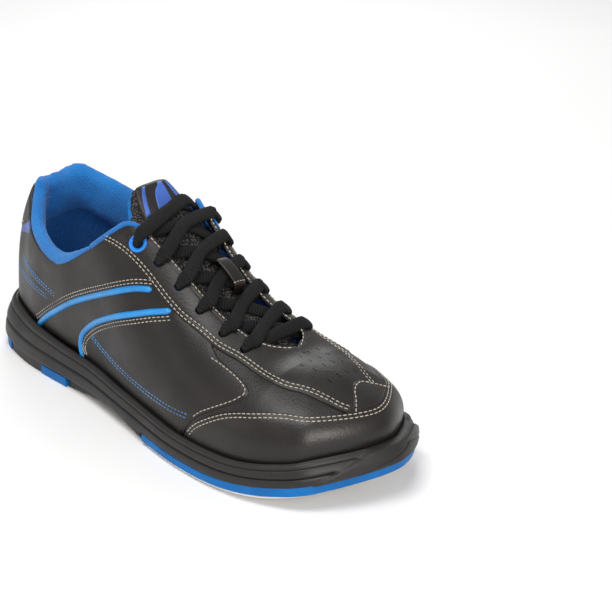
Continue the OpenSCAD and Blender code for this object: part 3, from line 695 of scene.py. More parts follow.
steel = shade((0.35, 0.35, 0.37), (0.5, 0.5, 0.52), "shank_steel", thread_grain, (0.3, 0.42), (0.2, 0.0001))
steel.node_tree.nodes["Principled BSDF"].inputs["Metallic"].default_value = 1.0
tip_plastic = shade((0.01, 0.01, 0.01), (0.02, 0.02, 0.02), "lace_tip", rubber_grain, (0.2, 0.3),
                    (0.05, 0.0001), coat=0.4)
tongue_mesh = mesh_knit("tongue_mesh", (0.008, 0.008, 0.009), (0.16, 0.15, 0.14))
# lace tones: the dark one is painted shade in the troughs of the ribs, the light one the colour of their
# crests
lace_black = lace_weave("lace_weave", (0.0022, 0.0022, 0.0024), (0.0085, 0.0082, 0.008))


# ---- Camera, light and floor
AZIMUTH, ELEVATION, DISTANCE = math.radians(51), math.radians(27.5), 0.9
LEVEL = math.cos(ELEVATION)
BACK = Vector((math.sin(AZIMUTH) * LEVEL, -math.cos(AZIMUTH) * LEVEL, math.sin(ELEVATION)))
RIGHT = Vector((math.cos(AZIMUTH), math.sin(AZIMUTH), 0))
UP = BACK.cross(RIGHT)
LENS = 95.3
AIM_RIGHT, AIM_UP = 0.067, 0.051


def add_camera():
    data = bpy.data.cameras.new("camera")
    data.lens = LENS
    data.sensor_width = 36
    camera = bpy.data.objects.new("camera", data)
    shift = RIGHT * AIM_RIGHT + UP * AIM_UP
    position = BACK * DISTANCE
    look = (shift - position).normalized()
    side = look.cross(Vector((0, 0, 1))).normalized()
    top = side.cross(look)
    camera.matrix_world = Matrix(((side.x, top.x, -look.x, position.x), (side.y, top.y, -look.y, position.y),
                                  (side.z, top.z, -look.z, position.z), (0, 0, 0, 1)))
    bpy.context.scene.collection.objects.link(camera)
    bpy.context.scene.camera = camera


def add_area(name, place_at, aim, size, power, colour=(1, 1, 1)):
    data = bpy.data.lights.new(name, "AREA")
    data.shape = "RECTANGLE"
    data.size, data.size_y = size
    data.energy = power
    data.color = colour
    lamp = bpy.data.objects.new(name, data)
    lamp.location = place_at
    lamp.rotation_euler = (Vector(aim) - Vector(place_at)).to_track_quat("-Z", "Y").to_euler()
    bpy.context.scene.collection.objects.link(lamp)


def add_stage():
    bpy.context.scene.view_settings.view_transform = "Standard"
    world = bpy.data.worlds.new("studio")
    world.use_nodes = True
    world.node_tree.nodes["Background"].inputs["Color"].default_value = (1, 1, 1, 1)
    world.node_tree.nodes["Background"].inputs["Strength"].default_value = 0.5
    bpy.context.scene.world = world
    paper, tree, bsdf = material("pale_paper")
    tree.links.new(ramp(tree, noise(tree, 8, 3), [(0.0, 0.82), (1.0, 0.86)]), bsdf.inputs["Base Color"])
    bsdf.inputs["Roughness"].default_value = 0.9
    reach, below = 3000, -0.3
    corners = [(-reach, -reach, below), (reach, -reach, below), (reach, reach, below), (-reach, reach, below)]
    mesh_object("floor", corners, [[0, 1, 2, 3]], paper, body=None, smooth=False)
    add_area("key", (0.15, -0.35, 1.1), (0.0, 0.0, 0.04), (0.7, 0.5), 8)
    add_area("front", (1.1, -0.5, 0.5), (0.08, 0.0, 0.03), (0.5, 0.5), 8, (1.0, 0.95, 0.9))
    add_area("rim", (-0.7, 0.7, 0.8), (0.0, 0.0, 0.05), (0.6, 0.6), 5)
    add_area("side", (-0.5, -1.1, 0.45), (-0.05, 0.0, 0.05), (0.6, 0.4), 1.4, (1.0, 0.94, 0.88))


# ---- Sole
PAD_T, PLATE_T, FLOOR_T = 2.6, 3.0, 2.7
STACK_T = PAD_T + PLATE_T


def spring_z(x):
    """Lift of the sole towards the toe."""
    return 14 * np.clip((x - 60) / 90, 0, 1) ** 2.2


def above_spring(up):
    return lambda x: spring_z(x) + up


def plate_top(x):
    return spring_z(x) + STACK_T + 0.5 + 2.6 * ease((x - 70) / 75)


# Side wall of the cup: share of the height, share of the lean, and extra inset
SIDE_WALL = [(0, 0, 2.4), (0.03, 0, 1.1), (0.07, 0.02, 0.45), (0.13, 0.05, 0.1), (0.22, 0.1, 0),
             (0.33, 0.16, 0.0), (0.39, 0.2, 0.15), (0.42, 0.22, 0.7), (0.445, 0.24, 1.25),
             (0.47, 0.26, 1.2), (0.49, 0.28, 0.5), (0.52, 0.3, 0.05), (0.58, 0.37, 0), (0.68, 0.52, 0),
             (0.76, 0.66, 0.1), (0.79, 0.7, 0.3), (0.8, 0.72, 0.75), (0.82, 0.76, 0.8),
             (0.835, 0.79, 0.25), (0.87, 0.85, 0), (0.93, 0.95, 0.05), (0.97, 1, 0.4), (1, 1.02, 1.2)]
RIM_UP = 1.5
CUP_WALL = 3.4
# The toe bumper: raised rubber round the toe, between two slanting ends, with one fine line across each
BUMPER_START, BUMPER_END, BUMPER_SLANT = 12.85, 15.6, 0.75
BUMPER_OUT, BUMPER_RAMP = 1.6, 0.13
LINE_LATERAL, LINE_MEDIAL, LINE_SLANT, LINE_HALF = 13.42, 15.2, 1.15, 0.045


def bumper(q, share):
    """1 on the toe bumper, 0 beside it."""
    begins = ease((q - BUMPER_START - BUMPER_SLANT * share) / BUMPER_RAMP)
    return begins * ease((BUMPER_END - BUMPER_SLANT * share - q) / BUMPER_RAMP)


def bumper_line(q, share):
    """Depth of the fine slanting lines on the bumper."""
    lateral = np.exp(-((q - LINE_LATERAL - LINE_SLANT * share) / LINE_HALF) ** 2)
    medial = np.exp(-((q - LINE_MEDIAL + LINE_SLANT * share) / LINE_HALF) ** 2)
    return 0.55 * (lateral + medial) * (0.08 < share < 0.8)


def wall_profile():
    """Rows of the side wall from the ground up, smoothed between the listed ones."""
    shares = np.array(SIDE_WALL)
    fine = np.linspace(0, len(shares) - 1, 4 * (len(shares) - 1) + 1)
    prof = np.stack([np.interp(fine, np.arange(len(shares)), shares[:, k]) for k in range(3)], -1)
    for k in range(3):
        prof[1:-1, k] = np.convolve(prof[:, k], [0.25, 0.5, 0.25], "valid")
    return prof


def wall_rings(q):
    rings = []
    for share, lean, inset in wall_profile():
        raised_by = bumper(q, share)
        out = raised_by * (BUMPER_OUT - bumper_line(q, share)) * min(1, 6 * share)
        kept = inset if share < 0.06 or share > 0.95 else inset * (1 - raised_by)
        leaning = lean * (feather_in(q) - CUP_WALL - 1) * (1 - 0.35 * raised_by)
        p = plan(q, leaning + kept - out)
        z = mix(STACK_T + spring_z(p[:, 0]), feather_z(q) + RIM_UP, share)
        rings.append(np.column_stack([p, z]))
    return rings


def cup_rings(q):
    """Rings over the rim, down inside the cup, and over its floor to its underside."""
    top = feather_z(q)
    rings = []
    for inset, z in ((-3.2, top + RIM_UP + 0.15), (-2.0, top + RIM_UP), (-0.7, top + RIM_UP - 0.5),
                     (-0.2, top - 0.5), (-0.6, top - 4)):
        rings.append(np.column_stack([plan(q, feather_in(q) + inset), z]))
    for inset, up in ((feather_in(q) - 0.3, FLOOR_T), (feather_in(q) + 12, FLOOR_T), (16 + 0 * q, 0)):
        p = plan(q, inset)
        rings.append(np.column_stack([p, STACK_T + spring_z(p[:, 0]) + up]))
    return rings


def build_outsole():
    q = np.arange(0, AROUND, 0.02)
    rings = wall_rings(q) + cup_rings(q)
    verts = np.concatenate(rings)
    faces = quads(len(rings), len(q), wrap_m=True, wrap_n=True)
    obj = mesh_object("outsole_cup", verts, faces, rubber_black, SHOE, "sole_rubber")
    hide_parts("outsole")


def rungs(n, shift):
    """Faces across a closed outline of n points, between point k and point shift - k."""
    loops = [list(dict.fromkeys((k, k + 1, (shift - k - 1) % n, (shift - k) % n))) for k in range(n // 2)]
    return [loop for loop in loops if len(loop) > 2]


def slab_parts(points, low, high, bevel, shift=0):
    """Flat piece with the given outline between two height functions, with small rounded edges. shift
    says which points of the outline face each other."""
    p = np.asarray(points, float)
    way = unit(np.roll(p, -1, 0) - np.roll(p, 1, 0))
    out = np.stack([way[:, 1], -way[:, 0]], -1)
    area = 0.5 * np.sum(p[:, 0] * np.roll(p[:, 1], -1) - np.roll(p[:, 0], -1) * p[:, 1])
    if area < 0:
        out = -out
    rings = []
    small = bevel * 0.3
    for inset, share, up in ((bevel, 0, 0), (small, 0, small), (0, 0, bevel),
                             (0, 1, -bevel), (small, 1, -small), (bevel, 1, 0)):
        at = p - out * inset
        z = mix(low(at[:, 0]), high(at[:, 0]), share) + up
        rings.append(np.column_stack([at, z]))
    rings = np.stack(rings)
    m, n = rings.shape[:2]
    verts = rings.reshape(-1, 3)
    walls = quads(m, n, wrap_n=True, flip=area > 0).tolist()
    cap = rungs(n, shift)
    bottom = [loop[::-1] if area > 0 else loop for loop in cap]
    top = [[(m - 1) * n + k for k in (loop if area > 0 else loop[::-1])] for loop in cap]
    return verts, walls + bottom + top


PAD_TIP_X = -9
PAD_FACE = 0.25
# Stripes across the slide pad: x of the lateral and of the medial end
PAD_STRIPES = [(53.5, 45), (61, 56), (68, 67), (75.5, 78)]
STRIPE_HALF, STRIPE_BOW = 40.0, 6
STRIPE_THIN, STRIPE_WIDE = 1.4, 4.2


def pointed(tip_x, q0, inset, toe_inset=0.0):
    """Forefoot outline with a point towards the heel, inset further at the toe."""
    q = np.concatenate([[q0], np.arange(8.5, 19.51, 0.1), [AROUND - q0]])
    return np.concatenate([[[tip_x, 0.0]], plan(q, inset + toe_inset * ease((fold(q) - 11.6) / 1.5))])


def pad_stripe(lateral_x, medial_x):
    """Outline of one tapered stripe across the slide pad, bowed a little towards the toe."""
    share = np.linspace(0, 1, 15)
    y = mix(-STRIPE_HALF, STRIPE_HALF, share)
    x = mix(lateral_x, medial_x, share) + STRIPE_BOW * share * (1 - share)
    half = mix(STRIPE_THIN, STRIPE_WIDE, share) / 2
    return np.concatenate([np.column_stack([x + half, y]), np.column_stack([x - half, y])[::-1]])


def build_bottom():
    layer = slab_parts(pointed(PAD_TIP_X, 8, 0.4), above_spring(1.7), plate_top, 0.7)
    obj = mesh_object("forefoot_layer", *layer, rubber_blue, SHOE, "sole_blue", smooth=False)
    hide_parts("forefoot_plate")
    outline = pointed(PAD_TIP_X + 5, 8.15, 1.6, 2.6)
    pad = slab_parts(outline, above_spring(PAD_FACE), above_spring(1.9), 0.4)
    obj = mesh_object("slide_sole", *pad, pad_white, SHOE, "slide_pad", smooth=False)
    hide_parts("slide_pad")
    stripes = [slab_parts(pad_stripe(*x), spring_z, above_spring(1.0), 0.1, -1) for x in PAD_STRIPES]
    mesh_object("slide_pad_stripes", *join_parts(stripes), rubber_blue, SHOE, "sole_blue", smooth=False)


# ---- Upper
upper_arc = edge(UPPER_ARC)
lower_arc = edge([(5.45, 14), (5.58, 28), (5.66, 36), *LOWER_ARC[3:]], 0.08)
mudguard_top = edge(MUDGUARD_TOP)
eyestay_w = edge(EYESTAY_EDGE, 0.3)
throat_w = edge(THROAT_EDGE, 0.16)
stripe_low = edge(STRIPE_LOW)
stripe_high = edge(STRIPE_HIGH)
front_low = edge(SIDE_FRONT_LOW, 0.1)
front_top = edge(SIDE_FRONT_TOP, 0.1)


def zero(q):
    return 0 * fold(q)


def eyestay_low(q):
    """Lower edge of the eyestay and vamp; it meets the toe cap further back on the medial side."""
    s = fold(q)
    moved = np.where(is_medial(q), s + 0.42 * ease((s - 10.5) / 2), s)
    return np.where(s > 13.58, 0.36, eyestay_w(np.minimum(moved, 13.6)))


def eyestay_high(q):
    """Edge of the throat, and the ridge in front of it."""
    s = fold(q)
    throat = np.minimum(throat_w(q), 1) - np.where(is_medial(q), 0.03, 0) * (s < 10.3)
    return np.where(s > 10.45, 1.0, np.minimum(throat, np.where(s < 7.05, collar_w(q, 1.2), 1.0)))


def under_eyestay(q):
    return eyestay_low(q) + 0.035


def quarter_low(q):
    return np.where(fold(q) < 3.9, 0, raised(upper_arc, 0.4)(q))


def quarter_high(q):
    top = collar_w(q, 0.5)
    in_front = np.maximum(np.minimum(top, under_eyestay(q)), quarter_low(q) + 0.01)
    return np.where(fold(q) > 6.35, in_front, top)


def band_low(q):
    return np.where(fold(q) < 5.5, 0, raised(lower_arc, -0.6)(q))


def band_high(q):
    return np.minimum(raised(upper_arc, 0.8)(q), under_eyestay(q))


def in_sole(q):
    return fold(q) < 9.2


def side_low(q):
    return np.where(in_sole(q), 0, share_at(q, front_low(q)))


def side_high(q):
    top = np.where(fold(q) < 8.3, raised(lower_arc, -0.4)(q), share_at(q, front_top(q)))
    return np.minimum(top, under_eyestay(q))


def vamp_side_high(q):
    return np.maximum(under_eyestay(q), 0.3)


def mudguard_high(q):
    return share_at(q, mudguard_top(q))


def stripe_bottom(q):
    return share_at(q, stripe_low(q))


def stripe_top(q):
    return np.minimum(share_at(q, stripe_high(q)), collar_w(q, 0.8))


def tab_bottom(q):
    return share_at(q, stripe_high(q) - 0.6)


def tab_top(q):
    return collar_w(q, 0.2)


# Panels that both sides have: names, ends, edges, cut edges and shape
PAIRS = [("quarter_leather", "quarter", 0, 8.0, quarter_low, quarter_high, (1, 0, 0, 1),
          {"top": -0.1, "furrows": ()}),
         ("arc_leather", "arc_band", 3.92, 8.5, band_low, band_high, (0, 0, 0, 0),
          {"top": -0.55, "furrows": ()}),
         ("side_leather", "side_panel", 5.5, 10.76, side_low, side_high, (0, 1, 1, 1),
          {"top": 0.05, "step": 0.04, "furrows": (1.5,), "buried": in_sole}),
         ("vamp_side_leather", "vamp_side", 9.0, 13.7, zero, vamp_side_high, (0, 0, 0, 0),
          {"top": -0.9, "furrows": ()})]


def build_panels():
    for side in SIDES:
        for name, stands_for, back, front, low, high, free, shape in PAIRS:
            q0, q1 = ends(side, back, front)
            panel(f"{name}_{side}", f"{stands_for}_{side}", q0, q1, low, high, leather,
                  free=free_ends(side, *free), **shape)
    panel("mudguard_leather", "mudguard", 9.2, AROUND - 9.2, zero, mudguard_high, toe_leather,
          free=(1, 1, 0, 1), top=0.35, rows=26)
    panel("heel_stripe_band", "heel_stripe", -4.0, 3.55, stripe_bottom, stripe_top, stripe_blue, "piping",
          top=0.35, rows=8, furrows=(), puff=0.2)
    panel("heel_tab_leather", "heel_tab", -3.9, 3.1, tab_bottom, tab_top, leather,
          top=0.5, rows=14, furrows=(1.5,))


HOLE_D = 5.2
RING_HOLE_D = 7.0
CUT_REACH = 6
# Perforations of the vamp, in rows across the shoe: x, y of the first, and how many
PERFORATIONS = [(88.7, 1.0, 3), (95.3, -4.5, 4), (102.6, -2.2, 4), (112.3, -1.6, 4)]
PERFORATION_PITCH, PERFORATION_PAIR, PERFORATION_R, PERFORATION_DEEP = 6.1, 0.75, 0.45, 0.7


def cutter_parts(q, w, dia):
    """Round cutter through the upper, square to it."""
    q, w = np.array([float(q)]), np.array([float(w)])
    p, n = last_pt(q, w)[0], last_normal(q, w)[0]
    a = unit(np.cross(n, [0.0, 1.0, 0.2]))
    b = np.cross(n, a)
    t = np.radians(np.arange(0, 360, 15.0))
    circle = (np.outer(np.cos(t), a) + np.outer(np.sin(t), b)) * dia / 2
    return tube_parts(np.stack([circle + p - n * CUT_REACH, circle + p + n * CUT_REACH]))


def dimple_parts(spot):
    """Upright pin whose lower end stands a little below the surface at a spot."""
    t = np.radians(np.arange(0, 360, 30))
    circle = np.column_stack([np.cos(t), np.sin(t), 0 * t]) * PERFORATION_R + spot
    return tube_parts(np.stack([circle - [0, 0, PERFORATION_DEEP], circle + [0, 0, 4]]))


def hole_cutters():
    cuts = []
    for row, q in enumerate(ROW_Q):
        dia = RING_HOLE_D if row == 0 else HOLE_D
        cuts.append(cutter_parts(q, HOLE_LAT[row], dia))
        cuts.append(cutter_parts(AROUND - q, HOLE_MED[row], dia))
    return cuts


def perforation_cutters(surface):
    cuts = []
    for x, first_y, count in PERFORATIONS:
        for k in range(count):
            for along in (-PERFORATION_PAIR, PERFORATION_PAIR):
                spot = np.array([x + along, first_y + PERFORATION_PITCH * k])
                near = surface[np.linalg.norm(surface[:, :2] - spot, axis=1).argmin()]
                cuts.append(dimple_parts([*spot, near[2]]))
    return cuts


def in_front_of_throat(q):
    return fold(q) > THROAT_END


def build_vamp():
    """Eyestays and vamp in one piece of leather, with the lace holes and the perforations cut in it."""
    q, verts, faces = panel_parts(6.5, AROUND - 6.5, eyestay_low, eyestay_high, top=0.45, thick=1.5,
                                  step=0.045, rows=30, puff=0.35, joined=in_front_of_throat)
    rows, columns = len(q), len(verts) // (2 * len(q))
    surface = verts[:rows * columns]
    verts, faces = weld_ridge(verts, faces, rows, columns, in_front_of_throat(q))
    obj = mesh_object("vamp_leather", verts, faces, leather, SHOE, "upper_leather")
    tool = mesh_object("cutter", *join_parts(hole_cutters() + perforation_cutters(surface)), leather, None)
    fix_normals(obj, 1e-5)
    fix_normals(tool)
    cut = obj.modifiers.new("holes", "BOOLEAN")
    cut.operation = "DIFFERENCE"
    cut.solver = "MANIFOLD"
    cut.object = tool
    apply_modifiers(obj)
    obj.data.set_sharp_from_angle(angle=math.radians(50))
    bpy.data.objects.remove(tool)
    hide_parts("vamp", "eyestay_lateral", "eyestay_medial")


def apply_modifiers(obj):
    """Turns what the modifiers make into the mesh itself."""
    graph = bpy.context.evaluated_depsgraph_get()
    mesh = bpy.data.meshes.new_from_object(obj.evaluated_get(graph))
    old = obj.data
    obj.modifiers.clear()
    obj.data = mesh
    bpy.data.meshes.remove(old)


def patch_high(q):
    x, y = np.array(TOE_PATCH_TOP).T
    return np.interp(q, x, y)


def patch_low(q):
    return np.minimum(share_at(q, mudguard_top(q) + 0.2), patch_high(q) - 0.01)


def build_toe_patch():
    panel("toe_patch_leather", "toe_patch", 13.52, 14.94, patch_low, patch_high, toe_leather,
          top=1.15, thick=1.0, rows=16, step=0.025, furrows=(1.3,), puff=0.3)


def tube_on_surface(q, w, radius, d):
    """Round cord lying on the surface along a path, thin at its two ends."""
    p, n = skin(q, w, np.full(q.shape, d)), last_normal(q, w)
    way = unit(np.gradient(p, axis=0))
    side = np.cross(n, way)
    angle = np.radians(np.arange(0, 360, 30.0))
    ends_in = np.minimum(np.arange(len(p)), np.arange(len(p))[::-1])
    r = radius * np.sqrt(np.clip(ends_in / 3, 0.15, 1))
    ring = side[:, None] * np.cos(angle)[None, :, None]
    ring = ring + n[:, None] * np.sin(angle)[None, :, None]
    return tube_parts(p[:, None] + ring * r[:, None, None])


def build_top_line():
    for side in SIDES:
        q, w = surface_path(TOP_LINE, medial=side == "medial")
        cord = tube_on_surface(q, w, 1.5, -0.4)
        mesh_object(f"throat_piping_{side}", *cord, collar_blue, SHOE, "collar_fabric")


def build_piping():
    for name, path in (("upper", UPPER_ARC), ("lower", LOWER_ARC)):
        for side in SIDES:
            q, w = surface_path(path, heights=True, medial=side == "medial")
            cord = tube_on_surface(q, w, 1.75, -0.25)
            obj = mesh_object(f"{name}_arc_piping_{side}", *cord, piping_blue, SHOE, "piping")
            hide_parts(f"{name}_piping_{side}")


# Rows of stitches: station and share, or station and height
EYESTAY_STITCH = [(6.5, 0.4), (7, 0.468), (7.62, 0.535), (8.38, 0.575), (8.95, 0.62), (9.47, 0.63),
                  (10, 0.655), (10.7, 0.667), (11.5, 0.677), (12.3, 0.683), (12.9, 0.655), (13.2, 0.588),
                  (13.42, 0.47), (13.5, 0.43)]
THROAT_STITCH = [(7.25, 0.735), *THROAT_EDGE[3:7], (9.85, 0.84), (10.15, 0.88), (10.32, 0.94), (10.42, 0.99)]
PATCH_STITCH = [(13.6, 0.4), (13.66, 0.47), (13.74, 0.55), (13.84, 0.62), (14, 0.655), (14.2, 0.665),
                (14.4, 0.645), (14.55, 0.58), (14.72, 0.48), (14.85, 0.4)]
SIDE_FRONT_STITCH = [(9.47, 59.3), (9.85, 57.2), (10.28, 54.4), (10.58, 52), (10.73, 49.3), (10.6, 45.6),
                     (10.35, 42), (9.85, 35), (9.6, 29.5)]
LOW_STITCH = [(6.02, 39), (6.2, 36.5), (6.6, 33), (7.28, 29.6), (8, 28), (8.8, 28), (9.4, 29)]
HEEL_LOW_STITCH = [(2.12, 49), (3.2, 48), (4.5, 47)]
HEEL_HIGH_STITCH = [(2.78, 58), (3.8, 55), (4.85, 51)]
TAB_STITCH = [(-3.3, 84.2), (-2.6, 79), (-1.9, 75), (-1, 73.8), (0, 73.4), (1, 73.8), (1.9, 75), (2.6, 79)]


def side_stitches(medial):
    """Cream and blue stitches of one side."""
    cream, blue = [], []
    for shift in STITCH_ROWS:
        cream.append(seam(EYESTAY_STITCH, shift=shift, d=0.75, medial=medial))
        cream.append(seam(UPPER_ARC, True, 1.4 + shift, medial, 0.3))
        cream.append(seam(LOWER_ARC, True, -1.4 - shift, medial, 0.42))
    cream.append(seam(SIDE_FRONT_STITCH, True, -1.5, medial, 0.35))
    cream.append(seam(THROAT_STITCH, shift=-1.6, d=0.7, medial=medial))
    for shift in (0, 2.2):
        blue.append(seam(LOW_STITCH, True, shift, medial, 0.5))
    for shift in (0, 2.0):
        blue.append(seam(HEEL_LOW_STITCH, True, shift, medial, 0.3))
        blue.append(seam(HEEL_HIGH_STITCH, True, shift, medial, 0.3))
    return cream, blue


def build_stitches():
    lateral, medial = side_stitches(False), side_stitches(True)
    cream = lateral[0] + medial[0]
    round_toe = MUDGUARD_TOP[1:] + [(AROUND - q, z) for q, z in MUDGUARD_TOP[-2:0:-1]]
    for shift in STITCH_ROWS:
        cream.append(seam(round_toe, True, -shift, d=0.65))
    cream.append(seam(PATCH_STITCH, d=1.45))
    cream.append(seam_around(TAB_STITCH, 1.0))
    mesh_object("cream_stitches", *join_parts(cream), cream_thread, SHOE, "upper_leather")
    mesh_object("blue_stitches", *join_parts(lateral[1] + medial[1]), blue_thread, SHOE, "piping")


def seam_around(points, d):
    """Stitches along heights over stations that run on through the heel."""
    path = smooth_path(points)
    q = path[:, 0]
    w = share_at(q, path[:, 1])
    return stitch_parts(skin(q, w, np.full(q.shape, d)), last_normal(q, w))


# ---- Padded collar
COLLAR_END = 6.6
# Drop below the top line, depth off the last, and rise above it, round the section of the collar
COLLAR_SECTION = [(4, -1.5, 0), (0.5, -0.9, 0), (0, -0.6, 1.6), (0, -0.9, 3.6), (0, -2.4, 5.2),
                  (0, -4.8, 5.6), (0, -7.2, 4.6), (0, -8.9, 1.6), (6, -9.6, 0), (13, -10, 0),
                  (20, -9.2, 0), (27, -6.6, 0), (26, -4.6, 0), (16, -4.4, 0), (8, -4.2, 0)]


def collar_rings():
    """Section of the collar round the heel, thinner towards its two ends."""
    q = np.arange(-COLLAR_END, COLLAR_END + 0.01, 0.1)
    fade = 1 - 0.72 * ease((fold(q) - 5.0) / 1.3)
    rings = []
    for drop, depth, up in COLLAR_SECTION:
        d = depth * (0.35 + 0.65 * fade) if depth < -1.6 else depth + 0 * q
        p = skin(q, collar_w(q, drop * fade), d)
        p[:, 2] += up * fade
        rings.append(p)
    return np.stack(rings, 1)


# Padding: the pressure inside, how far a point may move in metres, and the frames it takes
PRESSURE, PUFF_CAP, PUFF_FRAMES = 3.0, 0.0012, 20


def inflate(obj):
    """Blows a closed form up a little as cloth, each point held within a small distance of its start."""
    scene = bpy.context.scene
    start = np.array([v.co for v in obj.data.vertices])
    cloth = obj.modifiers.new("cloth", "CLOTH")
    cloth.settings.use_pressure = True
    cloth.settings.uniform_pressure_force = PRESSURE
    cloth.settings.effector_weights.gravity = 0
    cloth.settings.quality = 5
    for at in range(1, PUFF_FRAMES + 1):
        scene.frame_set(at)
    graph = bpy.context.evaluated_depsgraph_get()
    moved = np.array([v.co for v in obj.evaluated_get(graph).to_mesh().vertices])
    obj.modifiers.clear()
    scene.frame_set(1)
    step = moved - start
    far = np.linalg.norm(step, axis=1, keepdims=True)
    new = start + step * np.minimum(1, PUFF_CAP / np.maximum(far, 1e-9))
    obj.data.vertices.foreach_set("co", new.ravel())


def puffed(obj, voxel):
    """Remeshes a closed form, pads it out and smooths it."""
    remesh = obj.modifiers.new("remesh", "REMESH")
    remesh.mode = "VOXEL"
    remesh.voxel_size = voxel
    remesh.use_smooth_shade = True
    apply_modifiers(obj)
    inflate(obj)
    smooth = obj.modifiers.new("smooth", "SMOOTH")
    smooth.factor = 0.5
    smooth.iterations = 3
    divide = obj.modifiers.new("divide", "SUBSURF")
    divide.levels = divide.render_levels = 1
    apply_modifiers(obj)
    obj.data.polygons.foreach_set("use_smooth", [True] * len(obj.data.polygons))


def build_collar():
    obj = mesh_object("padded_collar", *tube_parts(collar_rings()), collar_blue, SHOE, "collar_fabric")
    puffed(obj, 0.0024)
    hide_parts("collar_roll", "collar_padding")


# ---- Lining and foot bed
def lining_top(q):
    """Upper edge of the lining: under the collar, beside the throat and over the toes."""
    s = fold(q)
    by_throat = np.minimum(eyestay_high(q), 1) - 0.12
    over_toes = mix(0.86, 0.999, ease((s - 10.45) / 0.75))
    return np.where(s < 6.5, collar_w(q, 6), np.where(s < 10.45, by_throat, over_toes))


def build_lining():
    q = np.arange(0, AROUND, 0.08)
    w = lining_top(q)[:, None] * np.linspace(0, 1, 20)
    m, n = w.shape
    outer, inner = (skin(q[:, None] + 0 * w, w, d + 0 * w).reshape(-1, 3) for d in (-2.9, -3.9))
    faces = [quads(m, n, wrap_m=True), quads(m, n, m * n, wrap_m=True, flip=True)]
    here = np.arange(m) * n
    after = np.roll(here, -1)
    low = np.stack([here, m * n + here, m * n + after, after], -1)
    high = np.stack([here, after, m * n + after, m * n + here], -1) + n - 1
    verts = np.concatenate([outer, inner])
    obj = mesh_object("knit_lining", verts, np.concatenate([*faces, low, high]), lining_blue, SHOE, "lining")
    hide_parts("shell_lining")


# Section of the foot bed: inset from the feather edge, and height over it
FOOT_BED = [(5.4, -4.7), (4.4, -4.0), (3.7, -1.2), (3.8, -0.1), (4.4, 0.0), (6, -0.5), (10, -0.8)]


def build_foot_bed():
    q = np.arange(0, AROUND, 0.08)
    rings = [np.column_stack([plan(q, feather_in(q) + inset), feather_z(q) + up]) for inset, up in FOOT_BED]
    verts, faces = tube_parts(np.stack(rings)[:, ::-1])
    obj = mesh_object("foot_bed", verts, faces, lining_blue, SHOE, "sockliner")
    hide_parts("sockliner")


# ---- Tongue
# Stations and half widths along the tongue, from the toe end up
TONGUE_Q = [10.5, 9.5, 9, 8.5, 8, 7.5, 7.2, 6.95, 6.75, 6.6, 6.5]
TONGUE_W = [0.8, 0.72, 0.66, 0.62, 0.58, 0.54, 0.52, 0.55, 0.61, 0.7, 0.82]
TONGUE_OUT = -6.6
LINER_IN = -0.02


def tongue_grid(depth, sag, narrow=0.0):
    """Points of the tongue at a depth, deeper by sag along its middle."""
    i = np.linspace(0, 10, 56)
    q = on_row(TONGUE_Q, i)[:, None]
    edge_w = on_row(TONGUE_W, i)[:, None] + narrow
    t = np.linspace(-1, 1, 33)[None, :]
    w = mix(0.999, edge_w, np.abs(t))
    stations = np.where(t <= 0, q, AROUND - q) + 0 * w
    return skin(stations, w, depth + sag * np.sqrt(1 - 0.85 * t * t) + 0 * q)


def build_tongue():
    verts, faces = sheet_parts(tongue_grid(TONGUE_OUT, 0), tongue_grid(TONGUE_OUT - 1.2, -3))
    pad = mesh_object("padded_tongue", verts, faces, tongue_mesh, None, "tongue_mesh")
    fix_normals(pad)
    puffed(pad, 0.003)
    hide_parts("tongue")
    outer, inner = (tongue_grid(TONGUE_OUT - depth, -3.2, LINER_IN) for depth in (1.4, 2.8))
    lining = mesh_object("tongue_knit", *sheet_parts(outer, inner), collar_blue, None, "tongue_lining")
    fix_normals(lining)
    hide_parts("tongue_lining")
    for piece in (pad, lining):
        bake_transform(piece)


def tongue_patch(corners, lift, thick, cols=14, rows=10):
    """Thin patch on the tongue between four corners, each given as a place across it (-1 lateral,
    1 medial) and a place along its stations."""
    a, b, c, d = (np.array(p, float) for p in corners)
    u = np.linspace(0, 1, cols)[None, :, None]
    v = np.linspace(0, 1, rows)[:, None, None]
    at = (a * (1 - u) + b * u) * (1 - v) + (d * (1 - u) + c * u) * v
    t, i = at[..., 0], at[..., 1]
    q = on_row(TONGUE_Q, i)
    w = mix(0.999, on_row(TONGUE_W, i), np.abs(t))
    stations = np.where(t <= 0, q, AROUND - q)
    crown = 1.3 * (1 - t * t)
    outer = skin(stations, w, TONGUE_OUT + lift + crown)
    inner = skin(stations, w, TONGUE_OUT + lift - thick + crown)
    return sheet_parts(outer, inner)


BADGE = [(-0.5, 6.3), (0.62, 6.3), (0.55, 9.3), (-0.42, 9.3)]
BANDS = [[(-0.42, 6.6), (-0.3, 6.6), (-0.12, 9.0), (-0.2, 9.0)],
         [(-0.12, 6.6), (0.06, 6.6), (0.16, 9.0), (0.04, 9.0)],
         [(0.26, 6.6), (0.48, 6.6), (0.42, 9.0), (0.28, 9.0)]]


def build_badge():
    obj = mesh_object("tongue_badge", *tongue_patch(BADGE, 0.5, 1.2), leather, TONGUE, "tongue_mesh")
    fix_normals(obj)
    bands = join_parts([tongue_patch(corners, 0.75, 0.4, 8, 12) for corners in BANDS])
    obj = mesh_object("tongue_bands", *bands, stripe_blue, TONGUE, "emblem")
    fix_normals(obj)
    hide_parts("tongue_emblem")


# ---- Keeper strap
# Side view of the strap: station and distance off the last
STRAP = [(8.13, -6.4), (8.13, -2.5), (8.15, 1.2), (8.21, 3.4), (8.42, 4.2), (8.64, 3.6), (8.71, 1.4),
         (8.73, -2.5), (8.74, -6.4)]
STRAP_W = (0.905, 1.0)
STRAP_T = 1.0


